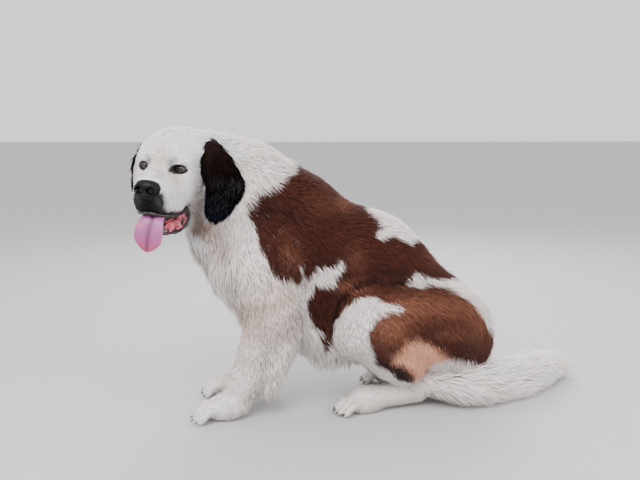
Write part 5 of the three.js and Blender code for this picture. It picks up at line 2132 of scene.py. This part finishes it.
@dataclass
class Eyes:
    """Both eyes with their dark lids.

    Attributes:
        gaze: How far each eye looks to the dog's left of straight ahead and up, in degrees.
        apart: How far each eye looks outwards, in degrees.
        iris: The iris's radius in degrees round the eye.
        pupil: The pupil's radius in degrees.
        cornea: The radius in degrees of the clear bulge over them.
        bulge: How high that stands, as a share of the eye's radius.
        corners: How many millimetres the lids reach outwards and inwards.
        lid_heights: How many millimetres the upper and the lower lid stand from the middle.
        ball: The radius in millimetres of the ball that the lids lie on.
        flat: How many millimetres to each side they follow it.
        rim: The radius of the lids' rims.
    """

    gaze: tuple[float, float] = (2.0, 2.0)
    apart: float = 14.0
    iris: float = 31.0
    pupil: float = 14.0
    cornea: float = 34.0
    bulge: float = 0.055
    corners: tuple[float, float] = (15.5, 14.5)
    lid_heights: tuple[float, float] = (8.0, 7.2)
    ball: float = 13.9
    flat: float = 11.8
    rim: float = 0.0021

    def build(self, palette: Palette) -> None:
        """Make both eyes and lids.

        Args:
            palette: The finishes.
        """
        for word, side in (("left", 1), ("right", -1)):
            centre = on_head(EYE_MM[0], side * EYE_MM[1], EYE_MM[2])
            self.eyeball(word, side, centre, palette)
            self.lids(word, side, centre, palette)

    def eyeball(self, word: str, side: int, centre: np.ndarray, palette: Palette) -> None:
        """Make one eye, its iris and pupil painted and its cornea bulging.

        Args:
            word: The side's name.
            side: One on the dog's left, and minus one on its right.
            centre: The eye's middle.
            palette: The finishes.
        """
        turn, lift = math.radians(self.gaze[0] + side * self.apart), math.radians(self.gaze[1])
        look = unit(
            FACING * math.cos(turn) * math.cos(lift) + HEAD_LEFT * math.sin(turn) + HEAD_UP * math.sin(lift)
        )
        first = unit(np.cross(look, HEAD_UP))
        second = np.cross(first, look)
        polar = np.concatenate([np.linspace(0, 45, 40), np.linspace(50, 178, 16)])
        sides = 48
        corners, paints = [], []
        for degrees in polar:
            bulge = 1.0
            if degrees < self.cornea:
                bulge = 1 + self.bulge * max(0.0, math.cos(math.radians(degrees * 90 / self.cornea)))
            angle = math.radians(degrees)
            for k in range(sides):
                turn = 2 * math.pi * k / sides
                way = look * math.cos(angle) + (first * math.cos(turn) + second * math.sin(turn)) * math.sin(angle)
                corners.append(way * EYE_RADIUS * bulge)
                streak = 0.5 + 0.5 * math.sin(turn * 17 + 2 * math.sin(turn * 5))
                paints.append(self.paint(degrees, streak))
        faces = ring_faces(len(polar), sides)
        made = mesh_object(f"eye_{word}_ball", np.array(corners) + centre, faces, palette.eye)
        paint_corners(made, np.array(paints))
        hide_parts(f"eye_{word}")

    def paint(self, degrees: float, streak: float) -> np.ndarray:
        """Colour a place on the eye.

        Args:
            degrees: Its angle from where the eye looks.
            streak: How light the iris's streak is there.

        Returns:
            The colour.
        """
        if degrees < self.pupil:
            return linear(6, 5, 6)
        if degrees < self.iris:
            share = (degrees - self.pupil) / (self.iris - self.pupil)
            inner, outer = linear(70, 42, 31), linear(28, 17, 14)
            return (inner * (1 - share) + outer * share) * (0.7 + 0.5 * streak)
        if degrees < self.iris + 4:
            return linear(22, 14, 12)
        return linear(150, 132, 124) * 0.7

    def lids(self, word: str, side: int, centre: np.ndarray, palette: Palette) -> None:
        """Make the dark rims of the lids, which close round the eye.

        Args:
            word: The side's name.
            side: One on the dog's left, and minus one on its right.
            centre: The eye's middle.
            palette: The finishes.
        """
        outline = []
        for degrees in range(0, 360, 15):
            turn = math.radians(degrees)
            wide, high = math.cos(turn), math.sin(turn)
            left = wide * self.corners[0 if wide * side > 0 else 1]
            tall = self.lid_heights[0 if high > 0 else 1]
            up = high * tall * (1 - 0.25 * abs(wide) ** 2) - 0.8 * wide * side
            ahead = math.sqrt(max(self.ball**2 - min(abs(left), self.flat) ** 2 - up**2, 16.0)) - 0.12 * abs(left)
            outline.append(FACING * ahead * MM + HEAD_LEFT * left * MM + HEAD_UP * up * MM + centre)
        ring = curve_through(np.array(outline), 72, closed=True)
        ring = np.concatenate([ring, ring[:1]])
        corners, faces = tube(ring, np.full(len(ring), self.rim), 10)
        made = mesh_object(f"eye_{word}_lids", corners, faces, palette.rim)


@dataclass
class Nose:
    """The black nose pad with its nostrils and the groove below it.

    Attributes:
        middle: The middle of the grid that it is made on, in the head's own millimetres.
        reach: How far that grid reaches to each side of it.
        step: The grid's step.
        coarse: The step of the grid's first look.
    """

    middle: Triple = (178, 0, -46)
    reach: float = 0.052
    step: float = 0.0013
    coarse: float = 0.006

    def depth(self, points: Points) -> Values:
        """Measure how far points are outside the nose.

        Args:
            points: Where the depth is wanted.

        Returns:
            The depth, below nought inside.
        """
        local = in_head(points) * MM
        f, _, up = NOSE_MM
        pad = (
            Muscle((f, 1, up), (23, 33, 22), 10),
            Muscle((f + 6, 1, up + 6), (17, 27, 14), 8),
            Bone((f - 6, 0, up - 16), (f - 14, 0, up - 44), (9, 4), 12),
            *(Muscle((f + 8, side * 19, up - 4), (15, 13, 14), 4) for side in (-1, 1)),
        )
        solid = blended(pad, local)
        for side in (-1, 1):
            hole = Muscle((f + 23, side * 15, up - 3.5), (16, 10.5, 10), 1).depth(local)
            slit = Bone((f + 20, side * 18, up - 6), (f + 4, side * 31, up - 9), (3.6, 1.8), 1).depth(local)
            solid = np.maximum(solid, -np.minimum(hole, slit))
        groove = Bone((f + 26, 0, up + 2), (f + 4, 0, up - 60), (1.5, 2.4), 1).depth(local)
        return np.maximum(solid, -groove)

    def build(self, palette: Palette) -> None:
        """Make the nose.

        Args:
            palette: The finishes.
        """
        lines = tuple(np.arange(v - self.reach, v + self.reach, self.step) for v in on_head(*self.middle))
        corners, quads = wrapped(self.depth, lines, self.coarse)
        made = mesh_object("nose_pad", corners, quads, palette.nose)
        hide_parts("nose")


@dataclass
class Tongue:
    """The tongue, which lies over the lower lip and hangs.

    Attributes:
        line: Its middle in the head's own millimetres.
        half_widths: Half its width along that line.
        half_thickness: Half its thickness along that line.
    """

    line: tuple[Triple, ...] = (
        (60, 0, -120), (100, 2, -112), (138, 4, -108), (158, 5, -116), (169, 3, -138), (172, 0, -166), (168, -3, -198),
    )
    half_widths: tuple[float, ...] = (24, 27, 28, 31, 38, 37, 21)
    half_thickness: tuple[float, ...] = (7, 7, 7, 6.5, 5.5, 4.5, 2.5)

    def build(self, palette: Palette) -> None:
        """Make the tongue with its groove and a soft edge.

        Args:
            palette: The finishes.
        """
        rows, sides = 70, 40
        path = curve_through(np.array([on_head(*p) for p in self.line]), rows)
        along = unit(np.gradient(path, axis=0))
        knots = np.linspace(0, 1, len(self.line))
        share = np.linspace(0, 1, rows)
        width = np.interp(share, knots, self.half_widths)
        width *= rounded_end(share, 0.84, 0.16, 0.995)
        thick = np.interp(share, knots, self.half_thickness)
        thick *= rounded_end(share, 0.93, 0.07, 0.99)
        across = unit(HEAD_LEFT - along * (along @ HEAD_LEFT)[:, None])
        top = np.cross(across, along)
        if (top[10] @ HEAD_UP) < 0:
            top = -top
        corners = []
        for i in range(rows):
            for k in range(sides):
                turn = 2 * math.pi * k / sides
                u, w = math.cos(turn), math.sin(turn)
                edge = math.copysign(abs(u) ** 0.8, u)
                groove = 3.2 * math.exp(-((edge / 0.1) ** 2)) * (w > 0) * min(1.0, 3 * (1 - share[i]) + 0.3)
                dish = 2.6 * (edge * edge) * (0.4 + share[i])
                ripple = 0.5 * math.sin(edge * 9 + share[i] * 23) * share[i]
                lift = w * thick[i] - groove + dish + ripple
                corners.append(path[i] + (across[i] * edge * width[i] + top[i] * lift) * MM)
        corners += [path[0], path[-1]]
        # The rings turn the other way round here, so each face is turned over
        faces = ring_faces(rows, sides, capped=True)[:, [0, 3, 2, 1]]
        made = mesh_object("tongue_hanging", np.array(corners), faces, palette.tongue)
        beside = np.tile(np.cos(np.linspace(0, 2 * math.pi, sides, endpoint=False)), rows)
        # Down the tongue's middle, where its groove runs, it is painted darker: painted shade in the groove
        groove_shade = np.exp(-((np.append(beside, [1.0, 1.0]) / 0.12) ** 2))[:, None]
        tip = smooth_step(0.7, 1.0, np.append(np.repeat(share, sides), [0.0, 1.0]))
        colours = lay(linear(159, 87, 141), linear(170, 68, 108), tip)
        paint_corners(made, colours * (1 - 0.55 * groove_shade))
        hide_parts("tongue")


@dataclass
class Mouth:
    """The lining of the mouth, the dark rims of the lips and the corners of the mouth.

    Attributes:
        lower_rim: The lower lip's edge on one side, in the head's own millimetres.
        upper_rim: The upper lip's edge on one side.
        inner_rim: The lining's inner edge on one side.
        steps: How many places there are along the lower lip.
        rows: How many rows of corners the lining has from edge to edge.
    """

    lower_rim: tuple[Triple, ...] = (
        (71, 59, -93), (62, 62, -103), (55, 63, -119), (57, 59, -138), (76, 50, -153), (102, 38, -157),
        (126, 25, -156), (139, 0, -155),
    )
    upper_rim: tuple[Triple, ...] = (
        (71, 59, -93), (84, 59, -100), (104, 55, -105), (130, 45, -105), (151, 33, -103), (165, 15, -98),
        (168, 0, -97),
    )
    inner_rim: tuple[Triple, ...] = (
        (74, 44, -99), (68, 42, -106), (65, 40, -112), (68, 36, -117), (80, 32, -121), (96, 26, -124),
        (112, 18, -126), (122, 0, -126),
    )
    steps: int = 60
    rows: int = 16

    def build(self, palette: Palette) -> None:
        """Make the rims and the lining on both sides.

        Args:
            palette: The finishes.
        """
        for word, side in (("left", 1), ("right", -1)):
            lower = self.run(self.lower_rim, side, self.steps)
            upper = self.run(self.upper_rim, side, 48)
            share = np.linspace(0, 1, self.steps)
            ripple = 1 + 0.18 * np.sin(share * 31) + 0.1 * np.sin(share * 57)
            for name, (corners, faces) in (
                ("lower_lip", tube(lower, 0.0052 * ripple * (1 - 0.3 * share), 12)),
                ("upper_lip", tube(upper, np.linspace(0.0035, 0.0045, 48), 10)),
            ):
                mesh_object(f"{name}_{word}", corners, faces, palette.rim)
            self.lining(word, side, lower, palette)

    @staticmethod
    def run(points: Sequence[Triple], side: int, count: int) -> Points:
        """Run a curve through points of the head on one side."""
        return curve_through(np.array([on_head(p[0], side * p[1], p[2]) for p in points]), count)

    def lining(self, word: str, side: int, outer: Points, palette: Palette) -> None:
        """Make the pink skin between the lower lip's edge and the mouth's inside.

        Args:
            word: The side's name.
            side: One on the dog's left, and minus one on its right.
            outer: The lower lip's edge.
            palette: The finishes.
        """
        inner = self.run(self.inner_rim, side, self.steps)
        rows, steps = self.rows, self.steps
        share = np.linspace(0, 1, rows)[:, None, None]
        sheet = outer[None] * (1 - share) + inner[None] * share
        fold = np.sin(share * math.pi) * (4.0 + 1.5 * np.sin(np.linspace(0, 40, steps))[None, :, None])
        sheet = sheet + (HEAD_LEFT * side * 0.8 - HEAD_UP * 0.2) * fold * MM
        back = sheet - HEAD_LEFT * side * 0.002
        corners = np.concatenate([sheet.reshape(-1, 3), back.reshape(-1, 3)])
        half = rows * steps
        faces = []
        for a in (i * steps + k for i in range(rows - 1) for k in range(steps - 1)):
            faces.append((a, a + 1, a + steps + 1, a + steps))
            faces.append((half + a, half + a + steps, half + a + steps + 1, half + a + 1))
        for a in (i * steps + k for i in range(rows - 1) for k in (0, steps - 1)):
            faces.append((a, a + steps, half + a + steps, half + a))
        for a in (i * steps + k for k in range(steps - 1) for i in (0, rows - 1)):
            faces.append((a, half + a, half + a + 1, a + 1))
        made = mesh_object(f"lip_lining_{word}", corners, faces, palette.lip)


EarPlan = tuple[str, Points, np.ndarray]


@dataclass
class Ears:
    """Both hanging ears: black flaps with a sleek coat and longer hair at the top.

    Attributes:
        left_line: The left ear's middle in the dog's millimetres, from its root to its tip.
        right_line: The right ear's middle, in the head's own millimetres.
        left_across: The direction of the left ear's width.
        half_widths: Half an ear's width along its middle.
        half_thickness: Half its thickness.
        cup: How far it is hollow.
        reach: How far from an ear's middle hair can cross it.
        press: How many millimetres under it such hair is pressed.
        rows: How many rings of corners a flap has.
        sides: How many corners each of them has.
    """

    left_line: tuple[Triple, ...] = (
        (-322, -146, 808), (-313, -181, 775), (-307, -198, 747), (-300, -204, 716),
        (-289, -206, 687), (-296, -205, 658), (-307, -197, 628), (-317, -186, 594),
    )
    right_line: tuple[Triple, ...] = (
        (-18, -78, 72), (-16, -92, 46), (-14, -101, 18), (-12, -104, -12),
        (-16, -105, -42), (-22, -103, -74), (-27, -99, -104), (-32, -93, -136),
    )
    left_across: Triple = (0.88, 0.45, 0.05)
    half_widths: tuple[float, ...] = (15, 33, 51, 52, 62, 54, 45, 27)
    half_thickness: float = 5.0
    cup: float = 7.0
    reach: float = 0.17
    press: float = 8.0
    rows: int = 48
    sides: int = 28

    def plans(self) -> tuple[EarPlan, EarPlan]:
        """Give each ear's name, its middle and the direction of its width."""
        right = np.array([on_head(*place) for place in self.right_line])
        return (
            ("left", np.array(self.left_line) * MM, np.array(self.left_across)),
            ("right", right, -FACING),
        )

    def build(self, palette: Palette) -> None:
        """Make both ears."""
        for word, line, across in self.plans():
            self.ear(word, line, across, palette)

    def half(self, share: Values) -> Values:
        """Give half the width at shares of the length, in millimetres."""
        return np.interp(share, np.linspace(0, 1, len(self.half_widths)), self.half_widths)

    @staticmethod
    def frames(line: Points, across: np.ndarray, rows: int) -> tuple[Points, Points, Points, Points]:
        """Give an ear's middle line with its run, width and thickness directions.

        Args:
            line: The middle of the ear from its root to its tip.
            across: The direction of its width.
            rows: How many places along it are wanted.

        Returns:
            The places and the three directions at each.
        """
        path = curve_through(line, rows)
        along = unit(np.gradient(path, axis=0))
        wide = unit(across - along * (along @ across)[:, None])
        return path, along, wide, np.cross(wide, along)

    def tuck(self, lines: np.ndarray) -> np.ndarray:
        """Push hair that would cross an ear beneath it.

        Args:
            lines: Centre lines of tufts, as tufts by rings by places.

        Returns:
            The lines, lying under the ears.
        """
        shape = lines.shape
        points = lines.reshape(-1, 3).copy()
        rows = 40
        for _, line, across in self.plans():
            path, _, wide, thick = self.frames(line, across, rows)
            outward = thick * np.sign(((path - SKULL) * thick).sum(1))[:, None]
            half = self.half(np.linspace(0, 1, rows))
            near = np.flatnonzero(np.linalg.norm(points - path[rows // 2], axis=1) < self.reach)
            here = points[near]
            gap = ((here[:, None] - path[None]) ** 2).sum(-1)
            row = gap.argmin(1)
            offset = here - path[row]
            beside = np.abs((offset * wide[row]).sum(1)) / MM
            above = (offset * outward[row]).sum(1) / MM
            over = smooth_step(half[row] + 11, half[row] - 3, beside)
            over = over * ((row > 1) & (row < rows - 2)) * (above < 45)
            sink = np.maximum(above + self.press, 0) * over * MM
            points[near] = here - outward[row] * sink[:, None]
        return points.reshape(shape)

    def ear(self, word: str, line: Points, across: np.ndarray, palette: Palette) -> None:
        """Make one ear's flap and its coat.

        Args:
            word: The side's name.
            line: The middle of the ear from its root to its tip.
            across: The direction of its width.
            palette: The finishes.
        """
        path, along, wide, thick = self.frames(line, across, self.rows)
        share = np.linspace(0, 1, self.rows)
        half = self.half(share) * 0.95 * rounded_end(share, 0.9, 0.1, 0.98)
        corners, normals = [], []
        for i in range(self.rows):
            for k in range(self.sides):
                turn = 2 * math.pi * k / self.sides
                u, w = math.cos(turn), math.sin(turn)
                cup = self.cup * (1 - u * u) * math.sin(math.pi * share[i])
                lift = w * self.half_thickness * (1 - 0.5 * u * u) + cup
                corners.append(path[i] + (wide[i] * u * half[i] + thick[i] * lift) * MM)
                normals.append(unit(wide[i] * u * 0.15 + thick[i] * w + 1e-9))
        body = np.array(corners)
        closed = np.concatenate([body, path[:1], path[-1:]])
        faces = ring_faces(self.rows, self.sides, capped=True)
        flap = mesh_object(f"ear_{word}_flap", closed, faces, palette.skin)
        paint_corners(flap, np.tile(Coat.SABLE.light, (len(closed), 1)))
        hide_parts(f"ear_{word}")
        self.coat(word, body, np.array(normals), along, palette)

    def coat(self, word: str, corners: Points, normals: Points, along: Points, palette: Palette) -> None:
        """Grow the ear's hair: short and sleek below, long and wavy at the top.

        Args:
            word: The side's name.
            corners: The flap's corners, ring by ring.
            normals: The direction outwards at each.
            along: The ear's direction at each ring.
            palette: The finishes.
        """
        rng = np.random.default_rng(41 if word == "left" else 43)
        sides = self.sides
        count = drafted(5200)
        picked = rng.integers(0, len(corners) - sides, count)
        blend = rng.random((count, 1))
        turn = rng.random((count, 1))
        beside = np.where((picked + 1) % sides == 0, picked + 1 - sides, picked + 1)
        roots = corners[picked] * (1 - blend) + corners[picked + sides] * blend
        roots = roots + (corners[beside] - corners[picked]) * turn
        away = unit(normals[picked])
        way = along[picked // sides]
        run = np.linspace(0, 1, self.rows)[picked // sides] + blend[:, 0] / self.rows
        top = smooth_step(0.62, 0.05, run + rng.normal(0, 0.06, count))
        reach = 0.032 if word == "left" else 0.024
        length = (0.013 + reach * top) * rng.uniform(0.7, 1.25, count)
        rise = (0.0022 + 0.2 * reach * top) * rng.uniform(0.6, 1.2, count)
        sway = rng.normal(0, 0.16 + 0.2 * top[:, None], (count, 1))
        way = unit(way + np.cross(away, way) * sway - Z_AXIS * 0.25)
        lines = np.empty((count, 3, 3))
        for ring, t in enumerate((0.0, 0.5, 1.0)):
            lines[:, ring] = roots + way * (length * t)[:, None] + away * (rise * t**0.6 - 0.0015 * (1 - t))[:, None]
        dusk = np.clip(top * rng.uniform(0.2, 1.0, count), 0, 1)
        # Towards the ear's lower end its black hair is painted blue: a painted sheen
        colours = lay(Coat.SABLE.light, Coat.INK.light, smooth_step(0.66, 0.9, run))
        colours = lay(colours, Coat.DUSK.light, dusk) * (1 + rng.normal(0, 0.2, (count, 1)))
        widths = (0.9 + 0.3 * top) * MM * rng.uniform(0.8, 1.2, count)
        spots = unwrapped((picked % sides) / sides, 1.0, run, 1.0)
        tufts = Tufts(lines, away, widths, np.clip(colours, 0.002, 1), spots)
        made = tufts.mesh(f"coat_ear_{word}", palette.sleek)


@dataclass
class Claws:
    """The claws of all four paws.

    Attributes:
        radius: A claw's radius at its root.
        gap: How far its middle stays above the floor.
        rows: How many rings of corners it has.
    """

    radius: float = 0.0048
    gap: float = 0.004
    rows: int = 12

    def build(self, palette: Palette) -> None:
        """Make every claw as one piece to a paw.

        Args:
            palette: The finishes.
        """
        names = ("claws_fore_left", "claws_fore_right", "claws_hind_left", "claws_hind_right")
        radii = self.radius * (1 - 0.85 * np.linspace(0, 1, self.rows) ** 1.4)
        for name, paw in zip(names, paws()):
            corners, faces = [], []
            for toe in paw.toes():
                tip, claw = toe["tip"] * MM, toe["claw"] * MM
                path = curve_through(np.array([tip, (tip + claw) / 2 + Z_AXIS * self.gap, claw]), self.rows)
                path[:, 2] = np.maximum(path[:, 2], self.gap)
                found, quads = tube(path, radii, 8)
                faces.append(quads + sum(len(c) for c in corners))
                corners.append(found)
            made = mesh_object(name, np.concatenate(corners), np.concatenate(faces), palette.claw)


# ---- the studio ----


@dataclass
class Studio:
    """A pale floor, soft light and a camera at the photo's angle."""

    def build(self) -> None:
        """Make the floor, lights and camera."""
        self.floor()
        self.lights()
        self.camera()

    def floor(self) -> None:
        """Make the plain pale floor."""
        bpy.ops.mesh.primitive_plane_add(size=300, location=(0, 0, 0))
        ground = bpy.context.object
        ground.name = "floor"
        paint = bpy.data.materials.new("floor_paint")
        paint.use_nodes = True
        grey = {"Base Color": (0.52, 0.52, 0.515, 1), "Roughness": 0.85}
        put(paint.node_tree, paint.node_tree.nodes[SHADER], grey)
        ground.data.materials.append(paint)

    def lights(self) -> None:
        """Hang soft lights: a large key from above, a fill and a low rim."""
        world = bpy.data.worlds.new("studio")
        world.use_nodes = True
        light = {"Color": (0.92, 0.91, 0.925, 1), "Strength": 1.38}
        put(world.node_tree, world.node_tree.nodes["Background"], light)
        bpy.context.scene.world = world
        plan = (
            ("key", (-1.6, -2.4, 3.0), 2.2, 158.0),
            ("fill", (2.2, -2.2, 1.8), 2.4, 54.0),
            ("rim", (0.6, 2.6, 2.6), 2.0, 106.0),
        )
        for name, place, size, power in plan:
            light = bpy.data.lights.new(name, "AREA")
            light.energy = power
            light.size = size
            lamp = bpy.data.objects.new(name, light)
            lamp.location = place
            lamp.rotation_euler = (Vector((0, 0, 0.4)) - Vector(place)).to_track_quat("-Z", "Y").to_euler()
            bpy.context.scene.collection.objects.link(lamp)

    def camera(self) -> None:
        """Place the camera."""
        lens = bpy.data.cameras.new("camera")
        lens.sensor_width = 36
        lens.lens = SIGHT.focal / (2 * SIGHT.middle[0]) * lens.sensor_width
        lens.clip_end = 400
        made = bpy.data.objects.new("camera", lens)
        made.location = Vector(SIGHT.place + SHIFT)
        made.rotation_euler = Vector(SIGHT.ahead).to_track_quat("-Z", "Y").to_euler()
        bpy.context.scene.collection.objects.link(made)
        bpy.context.scene.camera = made


def main() -> None:
    """Build the dog and the studio in order."""
    logging.basicConfig(level=logging.INFO, format="%(relativeCreated)d ms %(message)s")
    palette = Palette()
    Studio().build()
    comb = Comb()
    skin = Skin(Flesh(), comb)
    made = skin.build(palette)
    LOG.info("skin: %d faces", len(made.data.polygons))
    ears = Ears()
    BodyCoat(skin, comb, ears).build(palette)
    for piece in (Tail(), Eyes(), Nose(), Tongue(), Mouth(), ears, Claws()):
        piece.build(palette)
        LOG.info("%s is done", type(piece).__name__.lower())


if __name__ == "__main__":
    main()
